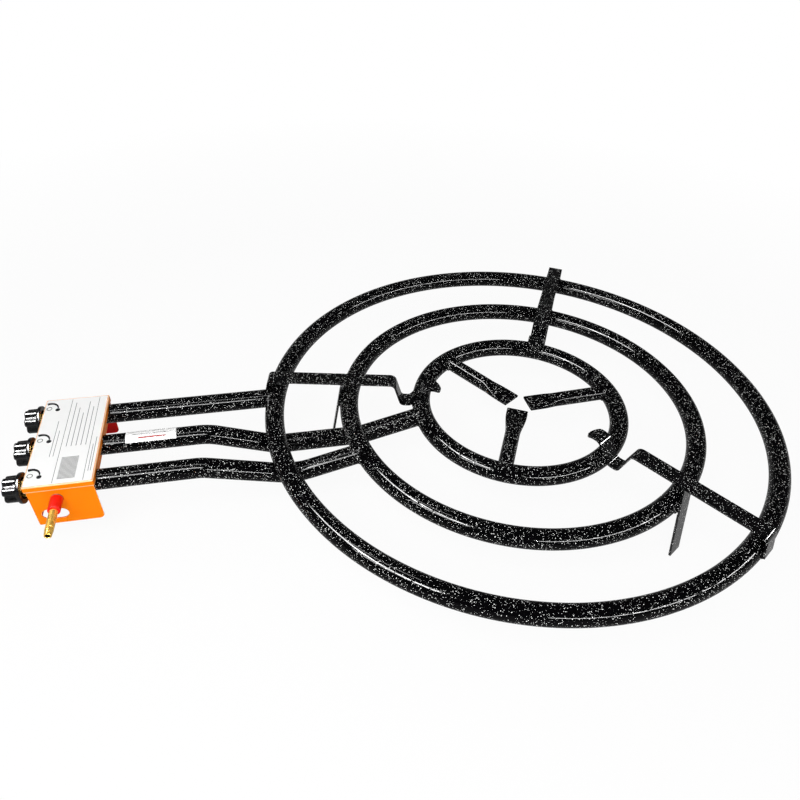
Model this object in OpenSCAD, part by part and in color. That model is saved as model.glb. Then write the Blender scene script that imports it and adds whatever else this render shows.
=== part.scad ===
// Paella burner: three gas rings on flat-bar legs, fed by a manifold box with three push-and-turn taps.
// Origin: on the ground, under the middle of the overall length and width. +X runs from the manifold
// to the rings, +Z is up.

/* [Burner rings] */
// Outside diameter of the outer ring
outer_ring_d = 700; // [660:5:760]
// Outside diameter of the middle ring
middle_ring_d = 500; // [460:5:530]
// Outside diameter of the inner ring
inner_ring_d = 300; // [280:5:330]
// Outside diameter of the burner tube
tube_d = 25; // [20:0.5:26]
// Wall of the burner tube
tube_wall = 2; // [1:0.1:3]
// Height of the outer ring's centreline above the ground
ring_height = 80; // [75:1:120]
// How far the middle ring lies below the outer ring
middle_drop = 5; // [0:0.5:8]
// How far the inner ring lies below the outer ring
inner_drop = 7; // [0:0.5:10]

/* [Centre tubes] */
// Outside diameter of the tubes inside the inner ring
centre_tube_d = 20; // [14:0.5:22]
// Wall of the centre tubes
centre_tube_wall = 1.5; // [1:0.1:2]
// Hole that lets the gas from the inner ring into a centre tube
centre_inlet_d = 14; // [8:0.5:15]
// Distance from the ring axis to a crimped end
centre_gap = 13; // [12:0.5:20]
// Length over which a centre tube flattens
crimp_taper_l = 42; // [20:1:55]
// Length of the crimped end
crimp_l = 10; // [5:0.5:20]
// Width of the crimped end
crimp_w = 29; // [24:0.5:34]
// Thickness of the crimped end
crimp_t = 4; // [3:0.1:6]
// Direction of the first centre tube, from +X
centre_turn = 3; // [0:1:20]

/* [Pan supports and legs] */
// Width of the flat bar
bar_w = 22; // [15:1:30]
// Thickness of the flat bar
bar_t = 3; // [2:0.5:5]
// Top of the pan supports above the outer ring's centreline
pan_rise = 30.5; // [28:0.5:40]
// Lean of the outer tab away from upright
tab_lean = 12; // [5:1:20]
// How far the tab runs on below its touching point
tab_below = 1.5; // [0:0.5:8]
// Gap between the inner ring and the bend where a support drops
drop_gap = 26; // [24:1:36]
// Slope of the drop
drop_angle = 72; // [68:1:80]
// Underside of the valley above the inner ring's centreline
valley_rise = 2; // [0:0.5:4]
// Slope of the climb over the inner ring
climb_angle = 52; // [45:1:58]
// How far the hook's crest lies below the pan rest
crest_fall = 6.5; // [4:0.5:10]
// Level length of the hook's crest
crest_l = 12; // [11:1:18]
// Length of the hook's curled tip
tip_l = 10; // [8:1:14]
// Slope of the curled tip
tip_curl = 35; // [10:5:60]
// Direction of the support beside the feed tubes, from +X
left_support_azimuth = 168.5; // [165:0.5:172]
// Direction of the back support, from +X
back_support_azimuth = 61; // [50:0.5:75]
// Direction of the right support, from +X
right_support_azimuth = -58; // [-75:0.5:-50]
// Splay of the legs away from upright
leg_splay = 8.6; // [0:0.1:12]

/* [Feed tubes] */
// Clear length of the feed tubes between the outer ring and the manifold box
feed_l = 198; // [190:1:300]
// Bend radius of the inner feed tube, as a share of the gap between outer and middle ring
inner_bend_share = 0.7; // [0.5:0.05:0.8]
// Bend radius of the middle feed tube, as a share of the same gap
middle_bend_share = 0.55; // [0.4:0.05:0.6]
// Level run of the middle feed tube past the outer ring, as a share of the same gap
middle_dwell_share = 0.25; // [0.25:0.01:0.35]
// Slope of the inner feed tube where it dives under the outer ring
inner_dive_angle = 20; // [16:1:26]
// Slope of the middle feed tube where it dives under the outer ring
middle_dive_angle = 15; // [13:1:22]
// Hole that lets the gas from a feed tube into its ring
inlet_d = 17; // [10:0.5:18]
// Clearance between a feed tube and a ring above it
feed_clear = 0.8; // [0.4:0.1:3]
// How far a feed tube reaches into the manifold box
feed_entry = 18; // [14:1:20]

/* [Manifold box] */
// Length of the box along the feed tubes
box_l = 77.5; // [75:0.5:100]
// Width of the box
box_w = 157; // [140:1:190]
// Distance from an end of the box to the nearest tap axis
tap_inset = 18.5; // [18:0.5:22]
// Height of the box
box_h = 65.5; // [55:0.5:72]
// Top of the box above the tap axes
box_top = 17.5; // [16.5:0.5:24]
// Sheet thickness
sheet = 1.2; // [0.8:0.1:2]
// Height of the lid's lip
lip_h = 8.5; // [8:0.5:13]
// Inside corner radius of the lid
corner_r = 0.6; // [0.4:0.1:4]
// Rounding of the end panels' lower corners
panel_corner_r = 6; // [3:0.5:12]
// Length of the slot in the end panels
slot_l = 30; // [20:1:40]
// Height of the slot in the end panels
slot_h = 16; // [8:1:18]
// Distance from the knob side of the box to the slot's centre
slot_inset = 24; // [22:1:40]
// Height of the slot's centre above the panels' lower edge
slot_rise = 16.5; // [10:0.5:20]

/* [Taps] */
// Diameter of a knob's skirt
knob_skirt_d = 37; // [34:0.5:40]
// Diameter of a knob's grip
knob_grip_d = 32; // [28:0.5:33]
// Length of a knob
knob_l = 19.5; // [17:0.5:26]
// Number of lobes of a knob
knob_lobes = 6; // [5:1:8]
// Push travel of a knob
push_travel = 3; // [2:0.5:3.5]
// Room left between a pushed knob and the lid
push_room = 1.5; // [1:0.5:3]
// Width over flats of the gland nut
nut_af = 19; // [17:0.5:19]
// Diameter of the tap spindle
spindle_d = 6; // [5:0.5:6.5]
// Width of the gas rail
rail_w = 22; // [20:0.5:24]
// Height of the gas rail
rail_h = 24; // [22:0.5:26]
// Diameter of the gas gallery in the rail
gallery_d = 9; // [8:0.5:10]
// How far the gas gallery lies below the tap axes
gallery_drop = 5; // [4.5:0.5:6]

/* [Gas inlet] */
// Outside diameter of the red sleeve
sleeve_d = 14; // [13:0.5:18]
// Length of the red sleeve
sleeve_l = 20; // [15:1:30]
// Diameter of the hose nozzle's land
hose_d = 9.6; // [8:0.1:10]
// Length of the hose nozzle beyond the sleeve
hose_l = 36; // [34:1:50]
// Bore of the hose nozzle
hose_bore_d = 5.5; // [4:0.1:6]

/* [Hidden] */
$fn = 64;
// Facets round a whole ring
ring_fn = 160;
// Sides of a bent feed tube
tube_sides = 28;
// Overrun of cutting shapes
overrun = 1;
// Gap left by a weld between the pieces it joins
weld_gap = 0.2;
// Gap between sheet parts that slip over each other
fit_gap = 0.2;
// Radial clearance of a running fit
run_gap = 0.05;

// Spacing of the feed tubes and taps
feed_pitch = box_w / 2 - tap_inset;

// Ring centrelines and tube bores
outer_r = (outer_ring_d - tube_d) / 2;
middle_r = (middle_ring_d - tube_d) / 2;
inner_r = (inner_ring_d - tube_d) / 2;
tube_bore = tube_d - 2 * tube_wall;
centre_bore = centre_tube_d - 2 * centre_tube_wall;

// Overall layout along X
box_near = outer_ring_d / 2 + feed_l;
knob_gap = push_travel + push_room;
knob_reach = box_near + box_l + knob_gap + knob_l;
ring_x = (knob_reach - outer_ring_d / 2) / 2;

// Bend radii along a pan support's centreline
tab_bend_r = 5;
drop_bend_r = 8;
valley_bend_r = 6;
crest_bend_r = 13;
tip_bend_r = 11;
bend_steps = 8;
// Length of bar kept behind the rounded tip
support_plan_l = outer_ring_d;

// Tube plate inside the box
plate_inset = 8;
plate_t = 2;
plate_rise = 15;
plate_fall = 16;
plate_flange_l = 10;
sheet_bend_r = 2;

// Tap sizes along the axis, from the outside of the knob wall into the box
nut_h = 7.5;
nut_cap_t = 3;
neck_d = 15;
neck_l = 4.3;
flange_d = 20;
flange_t = 4;
barrel_d = 18;
barrel_l = 15;
spigot_d = 12;
spigot_l = 16;
chamber_d = 10.8;
seat_from = 10;
seat_taper_d = 3.6;
outlet_d = 4;
outlet_web = 2;
plug_end_gap = 0.5;
plug_port_d = 3;
plug_slot_l = 10;
collar_d = 9.2;
collar_t = 1.5;
tongue_t = 2.4;
tongue_l = 18;
tongue_gap = 0.1;
spindle_flat_share = 0.35;
spring_wire_d = 0.9;
spring_d = 8.2;
spring_turns = 5;
spring_steps = 8;
spring_sides = 6;
spring_end_gap = 0.15;
injector_af = 10;
injector_hex_l = 5;
injector_nose_l = 8;
injector_nose_d = 5;
injector_thread_d = 6;
injector_thread_l = 5;
injector_jet_d = 1;
thread_gap = 0.1;
notch_gap = 0.6;

// Knob details
knob_skirt_l = 4;
knob_recess_d = 26;
knob_recess_l = 7.5;
knob_bore_l = 8.5;
knob_chamfer = 2;
knob_lobe_cut_share = 0.30;
knob_boss_d = 11;

// Gas rail ends and inlet
rail_end_gap = 2;
rail_plug_socket_af = 5;
rail_plug_socket_l = 4;
washer_t = 1.2;
washer_d = 13;
hose_land_l = 24;
hose_groove_d = 8.6;
hose_groove_l = 1.5;
hose_crest_l = 3;
hose_tip_d = 8.2;

// Lid screws
screw_pitch_share = 0.5;
screw_d = 4;
screw_head_d = 7.5;
screw_head_t = 2.2;
screw_l = 8;
screw_drop = lip_h / 2;

tap_ys = [feed_pitch, 0, -feed_pitch];
support_azimuths = [left_support_azimuth, back_support_azimuth, right_support_azimuth];
centre_azimuths = [for (i = [0:2]) centre_turn + 120 * i];

// Plane geometry
function unit(v) = v / norm(v);
function left_of(v) = [-v.y, v.x];
function turn_at(a, b, c) = acos(max(-1, min(1, unit(b - a) * unit(c - b))));
function side_at(a, b, c) = sign(cross(b - a, c - b));
function tangent_at(a, b, c, r) = r * tan(turn_at(a, b, c) / 2);
function bend_centre(a, b, c, r) =
    b - unit(b - a) * tangent_at(a, b, c, r) + left_of(unit(b - a)) * side_at(a, b, c) * r;
function bend_start(a, b, c, r) =
    let (s = b - unit(b - a) * tangent_at(a, b, c, r) - bend_centre(a, b, c, r)) atan2(s.y, s.x);
function bend_points(a, b, c, r) =
    let (o = bend_centre(a, b, c, r), t = turn_at(a, b, c), from = bend_start(a, b, c, r))
    [for (k = [0:bend_steps])
        let (w = from + side_at(a, b, c) * t * k / bend_steps) o + r * [cos(w), sin(w)]];
// A line of corner points with each inner corner rounded to its own radius
function bent_line(p, radii) = concat(
    [p[0]],
    [for (i = [1:len(p) - 2]) each bend_points(p[i - 1], p[i], p[i + 1], radii[i - 1])],
    [p[len(p) - 1]]);
function miter_at(p, i) =
    let (n = len(p),
         before = left_of(unit(p[max(i, 1)] - p[max(i, 1) - 1])),
         after = left_of(unit(p[min(i, n - 2) + 1] - p[min(i, n - 2)])))
    (before + after) / (1 + before * after);
// Outline of a strip of thickness t along a line
function strip(p, t) = concat(
    [for (i = [0:len(p) - 1]) p[i] + miter_at(p, i) * t / 2],
    [for (i = [len(p) - 1:-1:0]) p[i] - miter_at(p, i) * t / 2]);
function crossing(p, d, q, e) = p + d * cross(q - p, e) / cross(d, e);
function rounded_rect(x0, x1, half_w, r) = [
    for (c = [[x1 - r, half_w - r, 0], [x0 + r, half_w - r, 90],
              [x0 + r, r - half_w, 180], [x1 - r, r - half_w, 270]])
    for (k = [0:bend_steps])
        [c[0], c[1]] + r * [cos(c[2] + 90 * k / bend_steps), sin(c[2] + 90 * k / bend_steps)]];

// Feed routes in their upright planes: x from the ring axis, y up from the outer ring's centreline
feed_start = -(box_near + feed_entry);
function ring_meet(r, y) = -sqrt(r * r - y * y);
outer_route = [[feed_start, 0], [ring_meet(outer_r, feed_pitch), 0]];
middle_dip = -(tube_d + feed_clear);
middle_cross = ring_meet(outer_r, feed_pitch);
ring_space = outer_r - middle_r;
middle_route = [
    [feed_start, 0],
    [middle_cross - feed_clear + middle_dip / tan(middle_dive_angle), 0],
    [middle_cross - feed_clear, middle_dip],
    [middle_cross + middle_dwell_share * ring_space, middle_dip],
    [ring_meet(middle_r, feed_pitch), -middle_drop]];
inner_dip = -(tube_d + middle_drop + feed_clear);
inner_route = [
    [feed_start, 0],
    [inner_dip / tan(inner_dive_angle) - outer_r, 0],
    [-outer_r, inner_dip],
    [tube_d / 2 - middle_r, inner_dip],
    [-inner_r, -inner_drop]];
// Side faces of a sweep with the given rings and sides, its points counted from base
function sweep_faces(rings, sides, base, inward) = [
    for (k = [0:rings - 2])
    for (j = [0:sides - 1])
        let (a = base + k * sides + j, b = base + k * sides + (j + 1) % sides)
        each inward
            ? [[a, a + sides, b + sides], [a, b + sides, b]]
            : [[a, b + sides, a + sides], [a, b, b + sides]]];

// Points of a round sweep along a line in the XZ plane
function sweep_points(p, d, sides) = [
    for (i = [0:len(p) - 1])
    for (j = [0:sides - 1])
        let (w = 360 * j / sides, m = miter_at(p, i) * cos(w) * d / 2)
        [p[i].x + m.x, sin(w) * d / 2, p[i].y + m.y]];

// Tube bent along a line in the XZ plane
module bent_tube(p, d, bore) {
    rings = len(p);
    inner = rings * tube_sides;
    far = inner - tube_sides;
    near_rim = [for (j = [0:tube_sides - 1])
        let (k = (j + 1) % tube_sides) [j, inner + j, inner + k, k]];
    far_rim = [for (j = [0:tube_sides - 1])
        let (k = (j + 1) % tube_sides) [far + j, far + k, inner + far + k, inner + far + j]];
    polyhedron(
        points = concat(sweep_points(p, d, tube_sides), sweep_points(p, bore, tube_sides)),
        faces = concat(
            sweep_faces(rings, tube_sides, 0, false), sweep_faces(rings, tube_sides, inner, true),
            near_rim, far_rim));
}

module at_rings() {
    translate([ring_x, 0, ring_height]) children();
}

module solid_ring(r, z, d) {
    translate([0, 0, z])
        rotate_extrude($fn = ring_fn)
            translate([r, 0])
                circle(d = d);
}

// Hole in a ring's wall, along the last run of its feed tube
module inlet_hole(route, y) {
    end = route[len(route) - 1];
    along = end - route[len(route) - 2];
    translate([end.x, y, end.y])
        rotate([0, atan2(along.x, along.y), 0])
            translate([0, 0, -tube_d])
                cylinder(d = inlet_d, h = tube_d);
}

// A ring of tube with its gas inlet; the children are cut from it too
module tube_ring(r, z, route, y) {
    at_rings()
        difference() {
            solid_ring(r, z, tube_d);
            solid_ring(r, z, tube_bore);
            inlet_hole(route, y);
            children();
        }
}

module centre_bores(from, to) {
    for (a = centre_azimuths)
        rotate([0, 0, a])
            translate([from, 0, -inner_drop])
                rotate([0, 90, 0])
                    cylinder(d = centre_inlet_d, h = to - from);
}

module outer_ring() {
    color([0.05, 0.05, 0.05]) tube_ring(outer_r, 0, outer_route, feed_pitch);
}

module middle_ring() {
    color([0.05, 0.05, 0.05]) tube_ring(middle_r, -middle_drop, middle_route, -feed_pitch);
}

module inner_ring() {
    color([0.05, 0.05, 0.05])
        tube_ring(inner_r, -inner_drop, inner_route, 0) centre_bores(inner_r - tube_d, inner_r);
}

// Straight feed tube, its end coped to the outer ring
module outer_feed_tube() {
    run = outer_route[1].x - outer_route[0].x;
    color([0.05, 0.05, 0.05])
        at_rings()
            difference() {
                translate([outer_route[0].x, feed_pitch, 0])
                    rotate([0, 90, 0])
                        difference() {
                            cylinder(d = tube_d, h = run);
                            translate([0, 0, -overrun])
                                cylinder(d = tube_bore, h = run + 2 * overrun);
                        }
                solid_ring(outer_r, 0, tube_d + 2 * weld_gap);
            }
}

// Feed tube bent to dive under the rings, its end coped to the ring it joins
module bent_feed_tube(route, bend_r, y, r, z) {
    radii = [for (i = [2:len(route) - 1]) bend_r];
    color([0.05, 0.05, 0.05])
        at_rings()
            difference() {
                translate([0, y, 0])
                    bent_tube(bent_line(route, radii), tube_d, tube_bore);
                solid_ring(r, z, tube_d + 2 * weld_gap);
            }
}

module middle_feed_tube() {
    bent_feed_tube(middle_route, middle_bend_share * ring_space, -feed_pitch, middle_r, -middle_drop);
}

module inner_feed_tube() {
    bent_feed_tube(inner_route, inner_bend_share * ring_space, 0, inner_r, -inner_drop);
}

// Loft from a round section to a flat one, towards the ring axis
module crimp(d, w, t, from, to) {
    hull() {
        translate([to, 0, 0])
            rotate([0, -90, 0])
                cylinder(d = d, h = weld_gap, $fn = 32);
        translate([from, -(w - t) / 2, 0])
            rotate([0, 90, 0])
                cylinder(d = t, h = weld_gap, $fn = 16);
        translate([from, (w - t) / 2, 0])
            rotate([0, 90, 0])
                cylinder(d = t, h = weld_gap, $fn = 16);
    }
}

// Centre tube along +X: round at the ring, crimped flat at the inner end
module centre_tube(azimuth) {
    taper_from = centre_gap + crimp_l;
    taper_to = taper_from + crimp_taper_l;
    slit = crimp_t - 2 * centre_tube_wall;
    color([0.05, 0.05, 0.05])
        at_rings()
            rotate([0, 0, azimuth])
                translate([0, 0, -inner_drop])
                    difference() {
                        union() {
                            translate([taper_to, 0, 0])
                                rotate([0, 90, 0])
                                    cylinder(d = centre_tube_d, h = inner_r - taper_to);
                            crimp(centre_tube_d, crimp_w, crimp_t, taper_from, taper_to);
                            translate([centre_gap, -crimp_w / 2, -crimp_t / 2])
                                cube([crimp_l, crimp_w, crimp_t]);
                        }
                        translate([taper_to - weld_gap, 0, 0])
                            rotate([0, 90, 0])
                                cylinder(d = centre_bore, h = inner_r - taper_to + overrun);
                        crimp(centre_bore, crimp_w - 2 * centre_tube_wall, slit, taper_from, taper_to);
                        solid_ring(inner_r, 0, tube_d + 2 * weld_gap);
                    }
}

// Centreline of a pan support: x out from the ring axis, y up from the outer ring's centreline
bar_seat = tube_d / 2 + weld_gap + bar_t / 2;
rest_y = pan_rise - bar_t / 2;
tab_down = [sin(tab_lean), -cos(tab_lean)];
tab_touch = [outer_r, 0] + bar_seat * [cos(tab_lean), sin(tab_lean)];
tab_corner = tab_touch - tab_down * (rest_y - tab_touch.y) / cos(tab_lean);
climb_in = [-cos(climb_angle), sin(climb_angle)];
climb_touch = [inner_r, -inner_drop] + bar_seat * [sin(climb_angle), cos(climb_angle)];
drop_corner = [inner_ring_d / 2 + drop_gap, rest_y];
valley_floor = [inner_r, valley_rise + bar_t / 2 - inner_drop];
valley_out = crossing(drop_corner, [-cos(drop_angle), -sin(drop_angle)], valley_floor, [1, 0]);
valley_in = crossing(climb_touch, climb_in, valley_floor, [1, 0]);
crest_corner = climb_touch + climb_in * (rest_y - crest_fall - climb_touch.y) / sin(climb_angle);
tip_corner = crest_corner - [crest_l, 0];
tip_end = tip_corner - tip_l * [cos(tip_curl), sin(tip_curl)];
support_line = bent_line(
    [tab_touch + tab_down * tab_below, tab_corner, drop_corner, valley_out, valley_in, crest_corner,
     tip_corner, tip_end],
    [tab_bend_r, drop_bend_r, valley_bend_r, valley_bend_r, crest_bend_r, tip_bend_r]);

// Flat bar bent in an upright plane, with a rounded tip in plan
module support_bar() {
    tip_x = tip_end.x - bar_t * sin(tip_curl) / 2;
    intersection() {
        translate([0, bar_w / 2, 0])
            rotate([90, 0, 0])
                linear_extrude(bar_w)
                    polygon(strip(support_line, bar_t));
        translate([0, 0, -ring_height])
            linear_extrude(ring_height + pan_rise + overrun) {
                translate([tip_x + bar_w / 2, 0])
                    circle(d = bar_w);
                translate([tip_x + bar_w / 2, -bar_w / 2 - overrun])
                    square([support_plan_l, bar_w + 2 * overrun]);
            }
    }
}

// Support whose tab is coped where it meets the outer feed tube
module pan_support(azimuth) {
    color([0.05, 0.05, 0.05])
        at_rings()
            difference() {
                rotate([0, 0, azimuth])
                    support_bar();
                translate([feed_start, feed_pitch, 0])
                    rotate([0, 90, 0])
                        cylinder(d = tube_d + 2 * weld_gap, h = outer_route[1].x - feed_start);
            }
}

// Leg from the underside of a support to the ground, welded to the middle ring
module leg(azimuth) {
    touch = [middle_r, -middle_drop] + bar_seat * [cos(leg_splay), sin(leg_splay)];
    top_y = pan_rise - bar_t - weld_gap;
    top_x = touch.x - (top_y - touch.y) * tan(leg_splay);
    foot_x = touch.x + (touch.y + ring_height) * tan(leg_splay);
    half = bar_t / 2 / cos(leg_splay);
    color([0.05, 0.05, 0.05])
        at_rings()
            rotate([0, 0, azimuth])
                translate([0, bar_w / 2, 0])
                    rotate([90, 0, 0])
                        linear_extrude(bar_w)
                            polygon([[top_x - half, top_y], [foot_x - half, -ring_height],
                                     [foot_x + half, -ring_height], [top_x + half, top_y]]);
}

// Manifold box. Its frame: x = 0 on the ring side of the box, z = 0 on the tap axes
module at_manifold() {
    translate([ring_x - box_near, 0, ring_height]) children();
}

box_bottom = box_top - box_h;
wall_x = sheet + fit_gap - box_l;
panel_end = -sheet - fit_gap;
panel_y = box_w / 2 - sheet - fit_gap;
barrel_to = sheet + weld_gap + flange_t + barrel_l;
rail_mid_x = wall_x + barrel_to + rail_w / 2;

module lid_plan(inset) {
    polygon(rounded_rect(inset - box_l, -inset, box_w / 2 - inset, corner_r + sheet - inset));
}

module across_box(y, d) {
    translate([0, y, 0])
        rotate([0, 90, 0])
            cylinder(d = d, h = box_l, center = true);
}

screw_ys = [screw_pitch_share * feed_pitch, -screw_pitch_share * feed_pitch];

module at_screw(y) {
    translate([-box_l, y, box_top - screw_drop])
        rotate([0, 90, 0])
            children();
}

module manifold_cover() {
    color([1, 0.45, 0])
        at_manifold()
            difference() {
                translate([0, 0, box_top - lip_h])
                    linear_extrude(lip_h)
                        lid_plan(0);
                translate([0, 0, box_top - lip_h - overrun])
                    linear_extrude(lip_h - sheet + overrun)
                        lid_plan(sheet);
                for (y = tap_ys) {
                    across_box(y, tube_d + 2 * notch_gap);
                    translate([-box_l, 0, 0])
                        across_box(y, nut_af / cos(30) + 2 * notch_gap);
                }
                for (y = screw_ys)
                    at_screw(y)
                        translate([0, 0, -overrun])
                            cylinder(d = screw_d + 2 * thread_gap, h = sheet + 2 * overrun);
            }
}

// Lower corner of an end panel, to be rounded off
module panel_corner() {
    translate([0, 0, box_bottom])
        rotate([90, 0, 0])
            linear_extrude(box_w + overrun, center = true)
                difference() {
                    translate([panel_end - panel_corner_r, -overrun])
                        square(panel_corner_r + overrun);
                    translate([panel_end - panel_corner_r, panel_corner_r])
                        circle(r = panel_corner_r);
                }
}

module end_slot() {
    for (side = [-1, 1])
        translate([slot_inset - box_l + side * (slot_l - slot_h) / 2, 0, box_bottom + slot_rise])
            rotate([90, 0, 0])
                cylinder(d = slot_h, h = box_w + overrun, center = true);
    translate([slot_inset - box_l, 0, box_bottom + slot_rise])
        cube([slot_l - slot_h, box_w + overrun, slot_h], center = true);
}

// Folded sheet: knob wall and two end panels, open below and on the ring side
module manifold_chassis() {
    mid = sheet / 2;
    fold = bent_line(
        [[panel_end, mid - panel_y], [wall_x + mid, mid - panel_y], [wall_x + mid, panel_y - mid],
         [panel_end, panel_y - mid]],
        [sheet_bend_r, sheet_bend_r]);
    color([0.95, 0.42, 0])
        at_manifold()
            difference() {
                translate([0, 0, box_bottom])
                    linear_extrude(box_h - sheet - fit_gap)
                        polygon(strip(fold, sheet));
                panel_corner();
                end_slot();
                for (y = tap_ys)
                    translate([-box_l, 0, 0])
                        across_box(y, neck_d + 2 * fit_gap);
                translate([rail_mid_x, -box_w / 2, -gallery_drop])
                    rotate([90, 0, 0])
                        cylinder(d = hose_thread_d + 2 * fit_gap, h = 4 * sheet + 2 * overrun, center = true);
                for (y = screw_ys)
                    at_screw(y)
                        cylinder(d = screw_d + 2 * thread_gap, h = screw_l);
            }
}

module cover_screws() {
    color([0.75, 0.75, 0.75])
        at_manifold()
            for (y = screw_ys)
                at_screw(y) {
                    translate([0, 0, -weld_gap - screw_head_t])
                        cylinder(d1 = screw_d, d2 = screw_head_d, h = screw_head_t);
                    translate([0, 0, -weld_gap])
                        cylinder(d = screw_d, h = screw_l);
                }
}

// Folded strip that holds the tube mouths
module tube_plate() {
    half = panel_y - sheet - weld_gap - plate_t / 2;
    fold = bent_line(
        [[-plate_inset - plate_flange_l, -half], [-plate_inset, -half], [-plate_inset, half],
         [-plate_inset - plate_flange_l, half]],
        [sheet_bend_r, sheet_bend_r]);
    color([0.95, 0.42, 0])
        at_manifold()
            difference() {
                translate([0, 0, -plate_fall])
                    linear_extrude(plate_fall + plate_rise)
                        polygon(strip(fold, plate_t));
                for (y = tap_ys)
                    across_box(y, tube_d + 2 * weld_gap);
            }
}

// Tap frame: z runs along the tap axis from the outside of the knob wall into the box, x points down
module at_tap(i) {
    at_manifold()
        translate([wall_x, tap_ys[i], 0])
            rotate([0, 90, 0])
                children();
}

spigot_to = barrel_to + spigot_l;
seat_d = chamber_d;
seat_end_d = seat_d - seat_taper_d;
seat_to = spigot_to - outlet_web;
port_z = barrel_to + rail_w / 2;
function seat_d_at(z) = seat_d - seat_taper_d * (z - seat_from) / (seat_to - seat_from);

module tap_body(i) {
    wall = sheet + weld_gap;
    color([0.80, 0.62, 0.28])
        at_tap(i)
            difference() {
                rotate_extrude()
                    polygon([
                        [chamber_d / 2, -neck_l], [neck_d / 2, -neck_l], [neck_d / 2, wall],
                        [flange_d / 2, wall], [flange_d / 2, wall + flange_t],
                        [barrel_d / 2, wall + flange_t], [barrel_d / 2, barrel_to],
                        [spigot_d / 2, barrel_to], [spigot_d / 2, spigot_to], [outlet_d / 2, spigot_to],
                        [outlet_d / 2, seat_to], [seat_end_d / 2, seat_to], [seat_d / 2, seat_from]]);
                translate([0, 0, port_z])
                    rotate([0, 90, 0])
                        cylinder(d = plug_port_d, h = spigot_d);
            }
}

module tap_plug(i) {
    plug_to = seat_to - plug_end_gap;
    color([0.85, 0.66, 0.30])
        at_tap(i)
            difference() {
                translate([0, 0, seat_from])
                    cylinder(
                        d1 = seat_d - 2 * run_gap, d2 = seat_d_at(plug_to) - 2 * run_gap,
                        h = plug_to - seat_from);
                translate([-tongue_t / 2 - tongue_gap, -spindle_d / 2 - tongue_gap, seat_from - overrun])
                    cube([tongue_t + 2 * tongue_gap, spindle_d + 2 * tongue_gap, plug_slot_l + overrun]);
                translate([0, 0, port_z])
                    cylinder(d = plug_port_d, h = plug_to - port_z + overrun);
                translate([0, 0, port_z])
                    rotate([0, -90, 0])
                        cylinder(d = plug_port_d, h = seat_d);
            }
}

collar_from = nut_cap_t - nut_h + weld_gap;
collar_to = collar_from + collar_t;
knob_back = -(knob_gap + sheet + fit_gap);
bore_to = knob_back - knob_recess_l - knob_bore_l;

module spindle_flat(d, gap) {
    translate([d / 2 - spindle_flat_share * d / 2 + gap, -d, bore_to])
        cube([d, 2 * d, knob_bore_l]);
}

module tap_spindle(i) {
    color([0.72, 0.72, 0.70])
        at_tap(i) {
            difference() {
                translate([0, 0, bore_to + weld_gap])
                    cylinder(d = spindle_d, h = collar_from - bore_to - weld_gap);
                spindle_flat(spindle_d, 0);
            }
            translate([0, 0, collar_from])
                cylinder(d = collar_d, h = collar_t);
            translate([-tongue_t / 2, -spindle_d / 2, collar_to])
                cube([tongue_t, spindle_d, tongue_l]);
        }
}

spring_from = collar_to + spring_end_gap + spring_wire_d / 2;
spring_to = seat_from - spring_end_gap - spring_wire_d / 2;
spring_rings = spring_turns * spring_steps;
spring_pitch = (spring_to - spring_from) / spring_turns;

function spring_point(k, j) =
    let (w = 360 * k / spring_steps, v = 360 * j / spring_sides,
         r = (spring_d + spring_wire_d * cos(v)) / 2)
    [r * cos(w), r * sin(w), spring_from + spring_pitch * k / spring_steps + spring_wire_d * sin(v) / 2];

// Return spring between the spindle's collar and the plug
module tap_spring(i) {
    base = spring_rings * spring_sides;
    first = [for (j = [1:spring_sides - 2]) [0, j + 1, j]];
    last = [for (j = [1:spring_sides - 2]) [base, base + j, base + j + 1]];
    color([0.6, 0.6, 0.6])
        at_tap(i)
            polyhedron(
                points = [for (k = [0:spring_rings]) for (j = [0:spring_sides - 1]) spring_point(k, j)],
                faces = concat(sweep_faces(spring_rings + 1, spring_sides, 0, false), first, last));
}

module gland_nut(i) {
    color([0.80, 0.62, 0.28])
        at_tap(i)
            difference() {
                translate([0, 0, -nut_h])
                    cylinder(d = nut_af / cos(30), h = nut_h - weld_gap, $fn = 6);
                translate([0, 0, nut_cap_t - nut_h])
                    cylinder(d = neck_d + 2 * thread_gap, h = nut_h);
                translate([0, 0, -nut_h - overrun])
                    cylinder(d = spindle_d + 2 * run_gap, h = nut_h);
            }
}

// Lobed knob with a skirt, hollow behind to go over the gland nut
module knob(i) {
    cut_d = knob_lobe_cut_share * knob_grip_d;
    color([0.03, 0.03, 0.03])
        at_tap(i)
            difference() {
                union() {
                    translate([0, 0, knob_back - knob_skirt_l])
                        cylinder(d1 = knob_grip_d, d2 = knob_skirt_d, h = knob_skirt_l / 2);
                    translate([0, 0, knob_back - knob_skirt_l / 2])
                        cylinder(d = knob_skirt_d, h = knob_skirt_l / 2);
                    difference() {
                        rotate_extrude()
                            polygon([
                                [0, knob_back - knob_l], [knob_grip_d / 2 - knob_chamfer, knob_back - knob_l],
                                [knob_grip_d / 2, knob_back - knob_l + knob_chamfer],
                                [knob_grip_d / 2, knob_back - knob_skirt_l], [0, knob_back - knob_skirt_l]]);
                        for (k = [0:knob_lobes - 1])
                            rotate([0, 0, 360 * (k + 0.5) / knob_lobes])
                                translate([knob_grip_d / 2 + cut_d / 4, 0, knob_back - knob_l - overrun])
                                    cylinder(d = cut_d, h = knob_l - knob_skirt_l + overrun);
                    }
                }
                translate([0, 0, knob_back - knob_recess_l])
                    cylinder(d = knob_recess_d, h = knob_recess_l + overrun);
                translate([0, 0, bore_to])
                    difference() {
                        cylinder(d = spindle_d + 2 * run_gap, h = knob_bore_l + overrun);
                        translate([0, 0, -bore_to]) spindle_flat(spindle_d, 2 * run_gap);
                    }
            }
}

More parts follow.
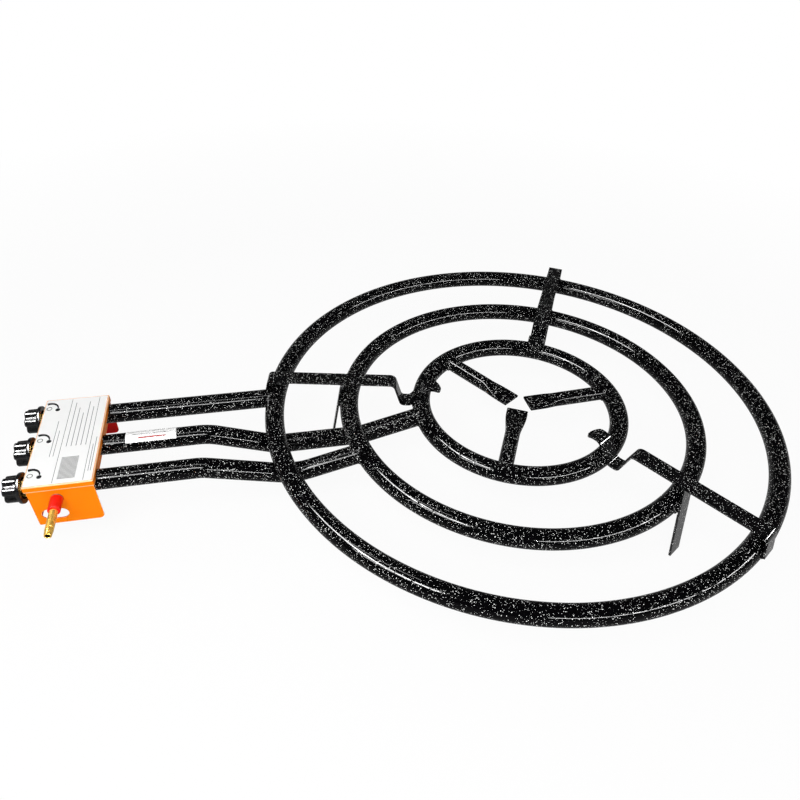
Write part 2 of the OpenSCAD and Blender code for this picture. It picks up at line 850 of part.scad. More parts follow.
rail_half = panel_y - sheet - rail_end_gap;
rail_thread_l = rail_half - feed_pitch - spigot_d / 2 - fit_gap;
hose_thread_d = gallery_d;

module at_rail() {
    at_manifold()
        translate([rail_mid_x, 0, -gallery_drop])
            rotate([90, 0, 0])
                children();
}

// Drilled bar: one gallery along it, one tap and one injector hole per tube
module gas_rail() {
    color([0.78, 0.76, 0.72])
        difference() {
            at_rail()
                translate([-rail_w / 2, -rail_h / 2 + gallery_drop / 2, -rail_half])
                    cube([rail_w, rail_h, 2 * rail_half]);
            at_rail()
                cylinder(d = gallery_d, h = 2 * rail_half + 2 * overrun, center = true);
            for (i = [0:2])
                at_tap(i) {
                    translate([0, 0, barrel_to - overrun])
                        cylinder(d = spigot_d + 2 * thread_gap, h = spigot_l + thread_gap + overrun);
                    translate([0, 0, spigot_to])
                        cylinder(d = outlet_d, h = rail_w);
                    translate([0, 0, barrel_to + rail_w - injector_thread_l - thread_gap])
                        cylinder(d = injector_thread_d + 2 * thread_gap, h = rail_w);
                }
        }
}

// Headless screw that closes the far end of the gallery
module rail_plug() {
    color([0.80, 0.62, 0.28])
        at_rail()
            translate([0, 0, -rail_half])
                difference() {
                    cylinder(d = gallery_d - 2 * thread_gap, h = rail_thread_l);
                    translate([0, 0, -overrun])
                        cylinder(
                            d = rail_plug_socket_af / cos(30), h = rail_plug_socket_l + overrun, $fn = 6);
                }
}

module injector(i) {
    face = barrel_to + rail_w + weld_gap;
    color([0.85, 0.66, 0.30])
        at_tap(i)
            difference() {
                union() {
                    translate([0, 0, face - weld_gap - injector_thread_l])
                        cylinder(d = injector_thread_d, h = injector_thread_l + weld_gap + overrun);
                    translate([0, 0, face])
                        cylinder(d = injector_af / cos(30), h = injector_hex_l, $fn = 6);
                    translate([0, 0, face + injector_hex_l])
                        cylinder(
                            d1 = injector_af - 2 * injector_jet_d, d2 = injector_nose_d, h = injector_nose_l);
                }
                translate([0, 0, face - weld_gap - injector_thread_l - overrun])
                    cylinder(d = outlet_d, h = injector_thread_l + injector_hex_l + injector_nose_l / 2);
                translate([0, 0, face])
                    cylinder(d = injector_jet_d, h = injector_hex_l + injector_nose_l + overrun);
            }
}

// Inlet frame: z runs outwards along the gallery axis from the outside of the front end panel
module at_inlet() {
    at_manifold()
        translate([rail_mid_x, -panel_y, -gallery_drop])
            rotate([90, 0, 0])
                children();
}

sleeve_from = washer_t + weld_gap;
sleeve_to = sleeve_from + sleeve_l;
hose_to = sleeve_to + hose_l;

module inlet_washer() {
    color([0.45, 0.30, 0.20])
        at_inlet()
            translate([0, 0, weld_gap / 2])
                difference() {
                    cylinder(d = washer_d, h = washer_t);
                    translate([0, 0, -overrun])
                        cylinder(d = hose_thread_d + 2 * fit_gap, h = washer_t + 2 * overrun);
                }
}

module inlet_sleeve() {
    color([0.85, 0.08, 0.03])
        at_inlet()
            translate([0, 0, sleeve_from])
                difference() {
                    cylinder(d = sleeve_d, h = sleeve_l);
                    translate([0, 0, -overrun])
                        cylinder(d = hose_thread_d + 2 * thread_gap, h = sleeve_l + 2 * overrun);
                }
}

// Brass nozzle: threaded shank through the sleeve into the rail, plain land, groove and tapered tip
module hose_tail() {
    shank_from = -(panel_y - rail_half) - rail_thread_l;
    land_from = sleeve_to + weld_gap;
    land_to = land_from + hose_land_l;
    shank_r = hose_thread_d / 2 - thread_gap;
    color([0.80, 0.62, 0.28])
        at_inlet()
            rotate_extrude()
                polygon([
                    [hose_bore_d / 2, shank_from], [shank_r, shank_from], [shank_r, land_from],
                    [hose_d / 2, land_from], [hose_d / 2, land_to],
                    [hose_groove_d / 2, land_to], [hose_groove_d / 2, land_to + hose_groove_l],
                    [hose_d / 2, land_to + hose_groove_l],
                    [hose_d / 2, land_to + hose_groove_l + hose_crest_l],
                    [hose_tip_d / 2, hose_to], [hose_bore_d / 2, hose_to]]);
}

outer_ring();
middle_ring();
inner_ring();
centre_tube(centre_azimuths[0]);  // centre_tube_1
centre_tube(centre_azimuths[1]);  // centre_tube_2
centre_tube(centre_azimuths[2]);  // centre_tube_3
outer_feed_tube();
middle_feed_tube();
inner_feed_tube();
pan_support(support_azimuths[0]);  // pan_support_1
pan_support(support_azimuths[1]);  // pan_support_2
pan_support(support_azimuths[2]);  // pan_support_3
leg(support_azimuths[0]);  // leg_1
leg(support_azimuths[1]);  // leg_2
leg(support_azimuths[2]);  // leg_3
manifold_cover();
manifold_chassis();
cover_screws();
tube_plate();
gas_rail();
rail_plug();
tap_body(0);  // tap_body_1
tap_body(1);  // tap_body_2
tap_body(2);  // tap_body_3
tap_plug(0);  // tap_plug_1
tap_plug(1);  // tap_plug_2
tap_plug(2);  // tap_plug_3
tap_spindle(0);  // tap_spindle_1
tap_spindle(1);  // tap_spindle_2
tap_spindle(2);  // tap_spindle_3
tap_spring(0);  // tap_spring_1
tap_spring(1);  // tap_spring_2
tap_spring(2);  // tap_spring_3
gland_nut(0);  // gland_nut_1
gland_nut(1);  // gland_nut_2
gland_nut(2);  // gland_nut_3
knob(0);  // knob_1
knob(1);  // knob_2
knob(2);  // knob_3
injector(0);  // injector_1
injector(1);  // injector_2
injector(2);  // injector_3
inlet_washer();
inlet_sleeve();
hose_tail();
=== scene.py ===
# %% [markdown]
# # Paella burner
# Three gas rings on flat-bar legs, fed by bent tubes from an orange manifold box. The solids come from the CAD
# frame. This lesson dresses them with drilled rings, weld beads, softened edges and the finishes of the photograph.
# The frame is loaded first, because every later piece takes its place from it.

# %% Load the frame
from math import copysign, cos, hypot, pi, radians, sin, sqrt, tan
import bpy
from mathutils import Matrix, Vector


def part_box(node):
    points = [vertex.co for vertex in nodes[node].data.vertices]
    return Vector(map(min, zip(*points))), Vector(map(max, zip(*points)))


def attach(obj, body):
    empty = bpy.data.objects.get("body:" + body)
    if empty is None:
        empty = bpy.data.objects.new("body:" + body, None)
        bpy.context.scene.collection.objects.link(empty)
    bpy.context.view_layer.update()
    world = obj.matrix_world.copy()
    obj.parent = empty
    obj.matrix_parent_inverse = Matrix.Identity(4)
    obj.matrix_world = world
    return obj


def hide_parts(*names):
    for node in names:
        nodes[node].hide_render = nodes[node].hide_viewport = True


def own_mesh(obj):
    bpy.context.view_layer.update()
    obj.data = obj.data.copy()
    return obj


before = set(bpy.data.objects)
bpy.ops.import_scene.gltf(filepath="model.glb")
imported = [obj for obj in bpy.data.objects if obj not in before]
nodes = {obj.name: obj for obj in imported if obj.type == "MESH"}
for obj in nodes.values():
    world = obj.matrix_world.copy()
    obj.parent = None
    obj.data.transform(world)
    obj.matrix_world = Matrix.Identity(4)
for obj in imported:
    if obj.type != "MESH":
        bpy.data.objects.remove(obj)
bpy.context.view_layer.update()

from types import SimpleNamespace

import bmesh
import bpy
from mathutils import Matrix, Vector

scene = bpy.context.scene
MM = 0.001


def add_object(name, data):
    made = bpy.data.objects.new(name, data)
    scene.collection.objects.link(made)
    return made


# %% [markdown]
# ## Measures
# Ring sizes could be typed in again, but then a change in the CAD would leave the dressing behind. Each ring's
# own box already holds its centre, its radius and the radius of its tube, so they are read from there.

# %% Ring measures from the frame
def ring_of(node):
    """A ring's radius, its tube's radius and its height."""
    low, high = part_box(node)
    tube = (high.z - low.z) / 2
    return SimpleNamespace(radius=(high.x - low.x) / 2 - tube, tube=tube, z=(low.z + high.z) / 2)


def middle_yz(node):
    low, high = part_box(node)
    return (low.y + high.y) / 2, (low.z + high.z) / 2


def steps(start, end, count):
    """Even steps from start to end, with both."""
    return [start + (end - start) * k / count for k in range(count + 1)]


rings_by_name = {name: ring_of(name + "_ring") for name in ("outer", "middle", "inner")}
outer, middle, inner = rings_by_name.values()
ring_x = sum(v.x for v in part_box("outer_ring")) / 2
tube_r = outer.tube
print("rings", [round(r.radius, 4) for r in (outer, middle, inner)], "at x", round(ring_x, 4))

# %% [markdown]
# ## Camera
# The photograph's viewpoint was found by matching the three rings, circles of known size, to their ovals in the
# picture. A camera could be aimed by eye with a Track To constraint. Writing its matrix from the found angles keeps
# the match exact, with the slight roll of the hand-held camera.

# %% Camera at the photograph's viewpoint
PHOTO_PX = 800
SENSOR_MM = 36
FOCAL_PX = 673.3
CAMERA_AZIMUTH = radians(-13.2)
CAMERA_ELEVATION = radians(39.94)
CAMERA_ROLL = radians(2.73)
CAMERA_DISTANCE = 0.94021
CAMERA_ASIDE = -0.16705
CAMERA_RAISED = 0.00122


def direction(azimuth, elevation):
    """Unit vector from the object towards a place round it; azimuth 0 is on the -Y side."""
    flat = cos(elevation)
    return Vector((sin(azimuth) * flat, -cos(azimuth) * flat, sin(elevation)))


ring_centre = Vector((ring_x, 0, outer.z))
back = direction(CAMERA_AZIMUTH, CAMERA_ELEVATION)
level = Vector((cos(CAMERA_AZIMUTH), sin(CAMERA_AZIMUTH), 0))
upright = back.cross(level)
right = cos(CAMERA_ROLL) * level + sin(CAMERA_ROLL) * upright
up = cos(CAMERA_ROLL) * upright - sin(CAMERA_ROLL) * level
eye = ring_centre + back * CAMERA_DISTANCE + right * CAMERA_ASIDE + up * CAMERA_RAISED

camera_data = bpy.data.cameras.new("camera")
camera_data.sensor_width = SENSOR_MM
camera_data.lens = FOCAL_PX * SENSOR_MM / PHOTO_PX
camera_data.clip_start = 0.01
camera = add_object("camera", camera_data)
camera.matrix_world = Matrix.Translation(eye) @ Matrix((right, up, back)).transposed().to_4x4()
scene.camera = camera
print("camera at", [round(v, 3) for v in eye])

# %% [markdown]
# ## Node helpers
# Materials and Geometry Nodes are both node trees. One small function that adds a node, fills its sockets and
# links what is already an output keeps every later tree readable from top to bottom.

# %% Node helpers
FAMILIES = ("GeometryNode", "ShaderNode", "FunctionNode", "")


def fill(tree, node, sockets):
    """Sets sockets to plain values, or links them to outputs or to nodes' first outputs."""
    for name, value in sockets.items():
        socket = node.inputs[name]
        if isinstance(value, bpy.types.Node):
            value = value.outputs[0]
        if isinstance(value, bpy.types.NodeSocket):
            tree.links.new(value, socket)
        else:
            socket.default_value = (*value, 1) if socket.type == "RGBA" else value


def put(tree, kind, sockets=None, **settings):
    """Adds a node of any family."""
    node = tree.nodes.new(next(f for f in FAMILIES if hasattr(bpy.types, f + kind)) + kind)
    for name, value in settings.items():
        setattr(node, name, value)
    fill(tree, node, sockets or {})
    return node


def sums(tree, operation, first, second=0.0):
    """The output of one Math node."""
    return put(tree, "Math", {0: first, 1: second}, operation=operation).outputs[0]


def times(tree, first, second):
    return sums(tree, "MULTIPLY", first, second)


def vectors(tree, operation, first, second=(0, 0, 0)):
    """The output of one Vector Math node."""
    found = put(tree, "VectorMath", {0: first, 1: second}, operation=operation).outputs
    return found["Value" if operation == "LENGTH" else "Vector"]


def upwards(tree, length):
    """A vector along Z."""
    return put(tree, "CombineXYZ", {"Z": length})


def spread(tree, value, low_in, high_in, low_out, high_out):
    """The output of a clamped Map Range."""
    sockets = {"Value": value, "From Min": low_in, "From Max": high_in, "To Min": low_out, "To Max": high_out}
    return put(tree, "MapRange", sockets).outputs["Result"]


def blend(tree, share, first, second):
    """The colour between two, by a share from 0 to 1."""
    return put(tree, "Mix", {0: share, 6: first, 7: second}, data_type="RGBA").outputs[2]


print("node helpers ready")

# %% Finish helpers
# Sizes and depths of patterns are in mm
NOISE_RANGE = (0.3, 0.7)


def new_finish(name, sockets):
    """A material with plain values on its shader; also returns its tree, shader and Object coordinates."""
    material = bpy.data.materials.new(name)
    material.use_nodes = True
    tree = material.node_tree
    shader = tree.nodes["Principled BSDF"]
    fill(tree, shader, sockets)
    return material, tree, shader, put(tree, "TexCoord").outputs["Object"]


def marked(tree, name):
    """1 on faces with this attribute, 0 elsewhere."""
    return put(tree, "Attribute", attribute_name=name).outputs["Fac"]


def grain(tree, coords, size, detail=2.0):
    """Soft random values with features of about this size."""
    return put(tree, "TexNoise", {"Vector": coords, "Scale": 1 / (size * MM), "Detail": detail}).outputs[0]


def paint(tree, shader, colour, noise, least, most):
    """Gives the shader a colour, and a roughness that follows noise."""
    fill(tree, shader, {"Base Color": colour, "Roughness": spread(tree, noise, *NOISE_RANGE, least, most)})


def relief(tree, shader, height, depth, strength):
    """Sends a height pattern to the shader's normal."""
    fill(tree, shader, {
        "Normal": put(tree, "Bump", {"Height": height, "Distance": depth * MM, "Strength": strength})})


print("finish helpers ready")

# %% [markdown]
# ## Speckled enamel
# The steel is dipped in black vitreous enamel with white flecks, then fired. An image texture could hold the
# flecks, but it would need unwrapping and would repeat. A Voronoi pattern in space gives every cell its own
# random number, so each cell can hold a fleck of its own size, or none, on any shape.

# %% Speckled enamel
# Size of a cell, then the least and greatest radius of its fleck, in cells
FLECKS = ((1.7, -0.5, 0.39), (1.05, -0.9, 0.37))
FLECK_EDGE = 0.06
FLECK_WHITE = (0.90, 0.91, 0.89)
ENAMEL_BLACK = (0.0012, 0.0012, 0.0015)


def fleck_mask(tree, coords, cell, smallest, largest):
    """1 inside a fleck and 0 outside. Cells whose radius comes out below zero stay empty."""
    cells = put(tree, "TexVoronoi", {"Vector": coords, "Scale": 1 / (cell * MM)})
    chance = put(tree, "SeparateColor", {"Color": cells.outputs["Color"]}).outputs[0]
    radius = spread(tree, chance, 0.0, 1.0, smallest, largest)
    inside = sums(tree, "SUBTRACT", radius, cells.outputs["Distance"])
    return spread(tree, inside, 0.0, FLECK_EDGE, 0.0, 1.0)


def speckled(name, gloss):
    """Black enamel with white flecks, a little wavy, as it runs before it sets."""
    material, tree, shader, coords = new_finish(name, {"Specular IOR Level": gloss})
    flecks = sums(tree, "MAXIMUM", *(fleck_mask(tree, coords, *kind) for kind in FLECKS))
    colour = blend(tree, flecks, ENAMEL_BLACK, FLECK_WHITE)
    paint(tree, shader, colour, grain(tree, coords, 9), 0.05, 0.11)
    pits = grain(tree, coords, 2.2)
    relief(tree, shader, sums(tree, "ADD", pits, times(tree, flecks, 0.3)), 0.08, 0.14)
    return material


enamel = speckled("speckled_enamel", 0.10)
bar_enamel = speckled("speckled_bar_enamel", 0.5)
print("enamel with flecks in cells of", [cell for cell, _, _ in FLECKS], "mm")

# %% [markdown]
# ## Paint, metal and plastic
# The box is powder coated, which leaves an orange-peel skin. Its folds and the lip's edge get a painted highlight in
# pale orange, and its inside gets painted shade in deep red. Brass and zinc show tool marks and a little tarnish, and
# the nozzle's bore gets painted shade. Painted textures could hold all this. Small noise patterns need no unwrapping,
# and attributes of the faces say where a fold, the inside or a bore is.

# %% Orange powder coat
RIM = "rim"
INSIDE = "inside"
# Painted highlight: pale orange on the rounded folds, and a band along the lip's lower edge, where light catches the
# edges
LIP_HIGHLIGHT_BAND = 1.0 * MM
PAINTED_HIGHLIGHT_ORANGE = (1.0, 0.72, 0.42)
# Painted shade: faces that look into the box are deep red, for the shade inside it
PAINTED_SHADE_RED = (0.72, 0.016, 0.014)
orange_paint, tree, shader, coords = new_finish("orange_paint", {"Specular IOR Level": 0.04})
tone = grain(tree, coords, 26)
skin = blend(tree, tone, (0.86, 0.190, 0.001), (0.91, 0.218, 0.001))
height = put(tree, "SeparateXYZ", {0: coords}).outputs["Z"]
lip_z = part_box("manifold_cover")[0].z
lip_edge = put(tree, "Math", {0: height, 1: lip_z + LIP_HIGHLIGHT_BAND / 2, 2: LIP_HIGHLIGHT_BAND / 2}, operation="COMPARE")
# Painted highlight: the marked folds and the lip's band are mixed towards pale orange
pale = sums(tree, "MAXIMUM", times(tree, marked(tree, RIM), 0.8), times(tree, lip_edge, 0.6))
skin_with_highlight = blend(tree, pale, skin, PAINTED_HIGHLIGHT_ORANGE)
peel = grain(tree, coords, 1.3)
# Painted shade: the marked inside faces turn deep red
paint(tree, shader, blend(tree, marked(tree, INSIDE), skin_with_highlight, PAINTED_SHADE_RED), peel, 0.30, 0.44)
relief(tree, shader, peel, 0.06, 0.5)
print(orange_paint.name)

# %% Brass, zinc and steel
BORE = "bore"
# Painted shade: a marked bore is near black, for the shade deep in the hole
PAINTED_BORE_SHADE = (0.006, 0.004, 0.003)


def turned_metal(name, light, dark, roughness, axis, metallic=1.0):
    """Metal with tool rings along an axis, cloudy tarnish and painted shade in a marked bore; less metallic is
    lacquered.
    """
    material, tree, shader, coords = new_finish(name, {"Metallic": metallic})
    clouds = grain(tree, coords, 6, 4.0)
    skin = blend(tree, clouds, light, dark)
    # Painted shade: the marked bore turns near black
    colour = blend(tree, marked(tree, BORE), skin, PAINTED_BORE_SHADE)
    paint(tree, shader, colour, clouds, roughness, roughness + 0.14)
    rings = put(tree, "TexWave", {"Vector": coords, "Scale": 320, "Distortion": 1.2}, bands_direction=axis).outputs[1]
    relief(tree, shader, rings, 0.03, 0.35)
    return material


brass_across = turned_metal("turned_brass_y", (0.95, 0.60, 0.12), (0.80, 0.44, 0.07), 0.20, "Y", 0.6)
brass_along = turned_metal("turned_brass_x", (0.89, 0.62, 0.20), (0.66, 0.40, 0.11), 0.22, "X")
zinc = turned_metal("zinc_plate", (0.70, 0.71, 0.70), (0.52, 0.53, 0.53), 0.30, "X")
steel = turned_metal("bright_steel", (0.62, 0.62, 0.61), (0.45, 0.45, 0.45), 0.25, "X")
spring_steel = turned_metal("spring_steel", (0.42, 0.42, 0.43), (0.30, 0.30, 0.31), 0.30, "X")
print("five metals")

# %% Plastic, fibre, label stock and inks
def moulded(name, light, dark, roughness, size, depth, gloss=0.4):
    """Plastic, paper or fibre with a cloudy tone and a soft skin."""
    material, tree, shader, coords = new_finish(name, {"Specular IOR Level": gloss})
    clouds = grain(tree, coords, size * 8, 3.0)
    paint(tree, shader, blend(tree, clouds, dark, light), clouds, roughness, roughness + 0.12)
    relief(tree, shader, grain(tree, coords, size), depth, 0.5)
    return material


knob_plastic = moulded("knob_plastic", (0.005, 0.005, 0.006), (0.003, 0.003, 0.003), 0.14, 0.7, 0.015)
red_sleeve = moulded("red_sleeve", (0.92, 0.014, 0.004), (0.76, 0.009, 0.003), 0.30, 0.9, 0.05, 0.15)
fibre = moulded("pressed_fibre", (0.30, 0.17, 0.09), (0.20, 0.11, 0.06), 0.70, 0.5, 0.10)
label_stock = moulded("label_stock", (0.89, 0.89, 0.885), (0.85, 0.85, 0.845), 0.36, 1.0, 0.02, 0.2)
grey_ink = moulded("grey_ink", (0.13, 0.13, 0.14), (0.10, 0.10, 0.11), 0.45, 0.4, 0.01, 0.1)
black_ink = moulded("black_ink", (0.006, 0.006, 0.007), (0.003, 0.003, 0.004), 0.40, 0.4, 0.01, 0.1)
white_ink = moulded("white_ink", (0.82, 0.82, 0.80), (0.76, 0.76, 0.74), 0.45, 0.4, 0.01)
red_ink = moulded("red_ink", (0.42, 0.012, 0.012), (0.34, 0.009, 0.009), 0.45, 0.4, 0.01, 0.1)
print("eight moulded or printed finishes")

# %% [markdown]
# ## Making pieces
# A finished piece sits at the origin with its place in its mesh, as a CAD node does, so that patterns in Object
# coordinates stay put on it. These helpers make one, ride it on its body and hide the CAD nodes it stands for.

# %% Piece helpers
SHARP_ANGLE = radians(38)


def piece(name, mesh, slot, *stands_for, body="burner"):
    """A piece that rides on a body, in place of the named CAD nodes."""
    made = add_object(name, mesh)
    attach(made, body)
    if stands_for:
        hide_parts(*stands_for)
    print(name, len(mesh.polygons), "faces")
    return made


def mesh_from(name, bm, material, find_edges=True):
    """A smooth-shaded mesh of a bmesh; finds its outside and crisp edges unless they are set."""
    if find_edges:
        bmesh.ops.recalc_face_normals(bm, faces=bm.faces)
    mesh = bpy.data.meshes.new(name)
    bm.to_mesh(mesh)
    bm.free()
    mesh.materials.append(material)
    for face in mesh.polygons:
        face.use_smooth = True
    if find_edges:
        mesh.set_sharp_from_angle(angle=SHARP_ANGLE)
    return mesh


def solid(name, bm, material, slot, *stands_for, body="burner"):
    piece(name, mesh_from(name, bm, material), slot, *stands_for, body=body)


print("piece helpers ready")

# %% Geometry Nodes helpers
def start_tree(name, numbers, **others):
    """A Geometry Nodes tree with named inputs; returns it and its input node's outputs."""
    tree = bpy.data.node_groups.new(name, "GeometryNodeTree")
    tree.interface.new_socket("Geometry", in_out="OUTPUT", socket_type="NodeSocketGeometry")
    inputs = {"Geometry": "Geometry", **dict.fromkeys(numbers, "Float"), **others}
    for label, kind in inputs.items():
        tree.interface.new_socket(label, in_out="INPUT", socket_type="NodeSocket" + kind)
    return tree, put(tree, "NodeGroupInput").outputs


def sweep(tree, curve, sides, radius, caps=False, scale=1.0):
    """A circle carried along a curve."""
    circle = put(tree, "CurvePrimitiveCircle", {"Resolution": sides, "Radius": radius})
    return put(tree, "CurveToMesh", {"Curve": curve, "Profile Curve": circle, "Fill Caps": caps, "Scale": scale})


def moved(tree, geometry, offset):
    return put(tree, "Transform", {"Geometry": geometry, "Translation": offset})


def stand(tree, points, thing, aim):
    """A copy of a thing at each point, with its Z axis along aim."""
    pose = put(tree, "AlignRotationToVector", {"Vector": aim}, axis="Z")
    return put(tree, "InstanceOnPoints", {"Points": points, "Instance": thing, "Rotation": pose})


def end_tree(tree, geometry, material):
    """Smooth shading with crisp rims, then Realize Instances and Set Material."""
    smooth = put(tree, "SetShadeSmooth", {"Geometry": geometry})
    angle = put(tree, "InputMeshEdgeAngle")
    rims = put(tree, "Compare", {0: angle, 1: SHARP_ANGLE}, operation="GREATER_THAN")
    crisp = put(tree, "SetShadeSmooth", {"Geometry": smooth, "Selection": rims, "Shade Smooth": False}, domain="EDGE")
    realized = put(tree, "RealizeInstances", {"Geometry": crisp})
    painted = put(tree, "SetMaterial", {"Geometry": realized, "Material": material})
    put(tree, "NodeGroupOutput", {"Geometry": painted})
    print(tree.name, "tree with", len(tree.nodes), "nodes")


def grow(tree, name, values, carrier=None):
    """Runs a tree on a carrier mesh and returns the result as a plain mesh."""
    holder = add_object(name + "_carrier", carrier or bpy.data.meshes.new(name))
    modifier = holder.modifiers.new(tree.name, "NODES")
    modifier.node_group = tree
    for item in tree.interface.items_tree:
        if item.name in values:
            modifier[item.identifier] = values[item.name]
    depsgraph = bpy.context.evaluated_depsgraph_get()
    mesh = bpy.data.meshes.new_from_object(holder.evaluated_get(depsgraph))
    holder.modifiers.remove(modifier)
    bpy.data.objects.remove(holder)
    mesh.name = name
    return mesh


def path_mesh(*paths):
    """A carrier of points joined along paths; a path is its points and whether it is closed."""
    points, edges = [], []
    for spots, closed in paths:
        first, last = len(points), len(points) + len(spots) - 1
        points += spots
        edges += [(i, i + 1) for i in range(first, last)] + [(last, first)] * closed
    carrier = bpy.data.meshes.new("paths")
    carrier.from_pydata(points, edges, [])
    return carrier


print("tree helpers ready")

# %% [markdown]
# ## Drilled rings
# Each ring is one closed tube with two rows of small flame ports, tilted out and in. The ports could be painted on
# as dots, but real holes catch light on their rims. A ring follows a rule, so Geometry Nodes sweeps the tube, puts a
# drill at every port and cuts them all at once.

# %% Ring tree
RING_STEPS = 224
TUBE_STEPS = 40
DRILL_SIDES = 10
PORT_RADIUS = 1.1 * MM
PORT_DEPTH = 2.4 * MM
PORT_PITCH = 20 * MM
PORT_TILT = radians(38)

tree, given = start_tree(
    "drilled_ring", ("Ring Radius", "Tube Radius", "Port Radius", "Port Depth", "Port Tilt"),
    Centre="Vector", Ports="Int")
path = put(tree, "CurvePrimitiveCircle", {"Resolution": RING_STEPS, "Radius": given["Ring Radius"]})
tube = sweep(tree, path, TUBE_STEPS, given["Tube Radius"])
drill = put(tree, "MeshCylinder", {
    "Vertices": DRILL_SIDES, "Radius": given["Port Radius"], "Depth": times(tree, given["Port Depth"], 2.0)})
lean, rise = sums(tree, "SINE", given["Port Tilt"]), sums(tree, "COSINE", given["Port Tilt"])
aside = times(tree, given["Tube Radius"], lean)
lift = upwards(tree, times(tree, given["Tube Radius"], rise))
drills = put(tree, "JoinGeometry")
for side in (1.0, -1.0):
    row_radius = sums(tree, "ADD", given["Ring Radius"], times(tree, aside, side))
    row = put(tree, "MeshCircle", {"Vertices": given["Ports"], "Radius": row_radius})
    turn = upwards(tree, sums(tree, "DIVIDE", side * pi / 2, given["Ports"]))
    placed = put(tree, "Transform", {"Geometry": row, "Translation": lift, "Rotation": turn})
    flat = vectors(tree, "MULTIPLY", put(tree, "InputPosition"), (1, 1, 0))
    outward = vectors(tree, "NORMALIZE", flat)
    leant = put(tree, "VectorMath", {0: outward, "Scale": times(tree, lean, side)}, operation="SCALE")
    aim = vectors(tree, "ADD", leant, upwards(tree, rise))
    fill(tree, drills, {0: stand(tree, placed, drill, aim)})
cutters = put(tree, "RealizeInstances", {"Geometry": drills})
drilled = put(tree, "MeshBoolean", {"Mesh 1": tube, "Mesh 2": cutters}, operation="DIFFERENCE", solver="MANIFOLD")
end_tree(tree, moved(tree, drilled, given["Centre"]), enamel)

# %% The three rings
for name, ring in rings_by_name.items():
    node = name + "_ring"
    ports = round(2 * pi * ring.radius / PORT_PITCH)
    mesh = grow(tree, node + "_tube", {
        "Ring Radius": ring.radius, "Tube Radius": ring.tube, "Centre": (ring_x, 0, ring.z),
        "Ports": ports, "Port Radius": PORT_RADIUS, "Port Depth": PORT_DEPTH, "Port Tilt": PORT_TILT})
    piece(node + "_tube", mesh, "enamel", node)

# %% [markdown]
# ## Feed tubes
# Three tubes leave the box side by side. One runs straight to the outer ring, and two dive under the rings that
# they don't feed. A bevelled curve would also do, but Fillet Curve in Geometry Nodes rounds every corner by one
# input. Solidify gives the wall, because the open mouths show from under the box.

# %% Feed tube tree
BEND_STEPS = 16
TUBE_STEP = 4 * MM
TUBE_WALL = 2 * MM
tree, given = start_tree("feed_tube", ("Tube Radius", "Bend Radius"))
line = put(tree, "MeshToCurve", {"Mesh": given["Geometry"]})
bends = put(tree, "FilletCurve", {"Curve": line, "Radius": given["Bend Radius"], "Count": BEND_STEPS}, mode="POLY")
even = put(tree, "ResampleCurve", {"Curve": bends, "Length": TUBE_STEP}, mode="LENGTH")
end_tree(tree, sweep(tree, even, TUBE_STEPS, given["Tube Radius"]), enamel)

# %% The three feed tubes
# Routes as in the CAD source: distance from the ring axis, height above the outer ring's centreline
FEED_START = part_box("outer_feed_tube")[0].x - ring_x
FEED_Y = middle_yz("outer_feed_tube")[0]
CLEAR = 0.8 * MM
MIDDLE_DIVE = radians(15)
INNER_DIVE = radians(20)
ring_space = outer.radius - middle.radius
middle_drop = outer.z - middle.z
inner_drop = outer.z - inner.z
outer_meet = -sqrt(outer.radius ** 2 - FEED_Y ** 2)
middle_meet = -sqrt(middle.radius ** 2 - FEED_Y ** 2)
middle_dip = -(2 * tube_r + CLEAR)
inner_dip = middle_dip - middle_drop
routes = {
    "outer_feed_tube": (FEED_Y, 0.01, [(FEED_START, 0), (outer_meet, 0)]),
    "middle_feed_tube": (-FEED_Y, 0.55 * ring_space, [
        (FEED_START, 0), (outer_meet - CLEAR + middle_dip / tan(MIDDLE_DIVE), 0),
        (outer_meet - CLEAR, middle_dip), (outer_meet + 0.25 * ring_space, middle_dip),
        (middle_meet, -middle_drop)]),
    "inner_feed_tube": (0.0, 0.7 * ring_space, [
        (FEED_START, 0), (inner_dip / tan(INNER_DIVE) - outer.radius, 0),
        (-outer.radius, inner_dip), (tube_r - middle.radius, inner_dip),
        (-inner.radius, -inner_drop)]),
}
for node, (y, bend, route) in routes.items():
    points = [(ring_x + x, y, outer.z + z) for x, z in route]
    mesh = grow(tree, node + "_bent", {"Tube Radius": tube_r, "Bend Radius": bend}, path_mesh((points, False)))
    made = piece(node + "_bent", mesh, "enamel", node)
    wall = made.modifiers.new("wall", "SOLIDIFY")
    wall.thickness = TUBE_WALL
    wall.offset = -1

# %% [markdown]
# ## Centre tubes
# Three thinner tubes run from the inner ring towards the middle, with ends pinched flat in a press. A lattice
# could squeeze a cylinder. A loft through superellipses sets the width, height and squareness of every section.

# %% Centre tubes
CENTRE_R = 10 * MM
CENTRE_FROM = 13 * MM
PINCH_L = 10 * MM
PINCH_TAPER = 42 * MM
PINCH_W = 14.5 * MM
PINCH_H = 2 * MM
TAPER_STEPS = 14
CENTRE_SIDES = 48
CENTRE_AZIMUTHS = [radians(3 + 120 * i) for i in range(3)]
# The slit in the pinched end: distance from the end, and shares of its width and height
SLIT = ((4 * MM, 0.86, 0.16), (-0.4 * MM, 0.86, 0.22), (-0.4 * MM, 0.95, 0.72))


def superellipse(half_w, half_h, power):
    """Points round a section, from round (power 2) to nearly square."""
    waves = [(cos(a), sin(a)) for a in steps(0, 2 * pi, CENTRE_SIDES)[:-1]]
    return [(copysign(abs(c) ** (2 / power), c) * half_w, copysign(abs(s) ** (2 / power), s) * half_h)
            for c, s in waves]


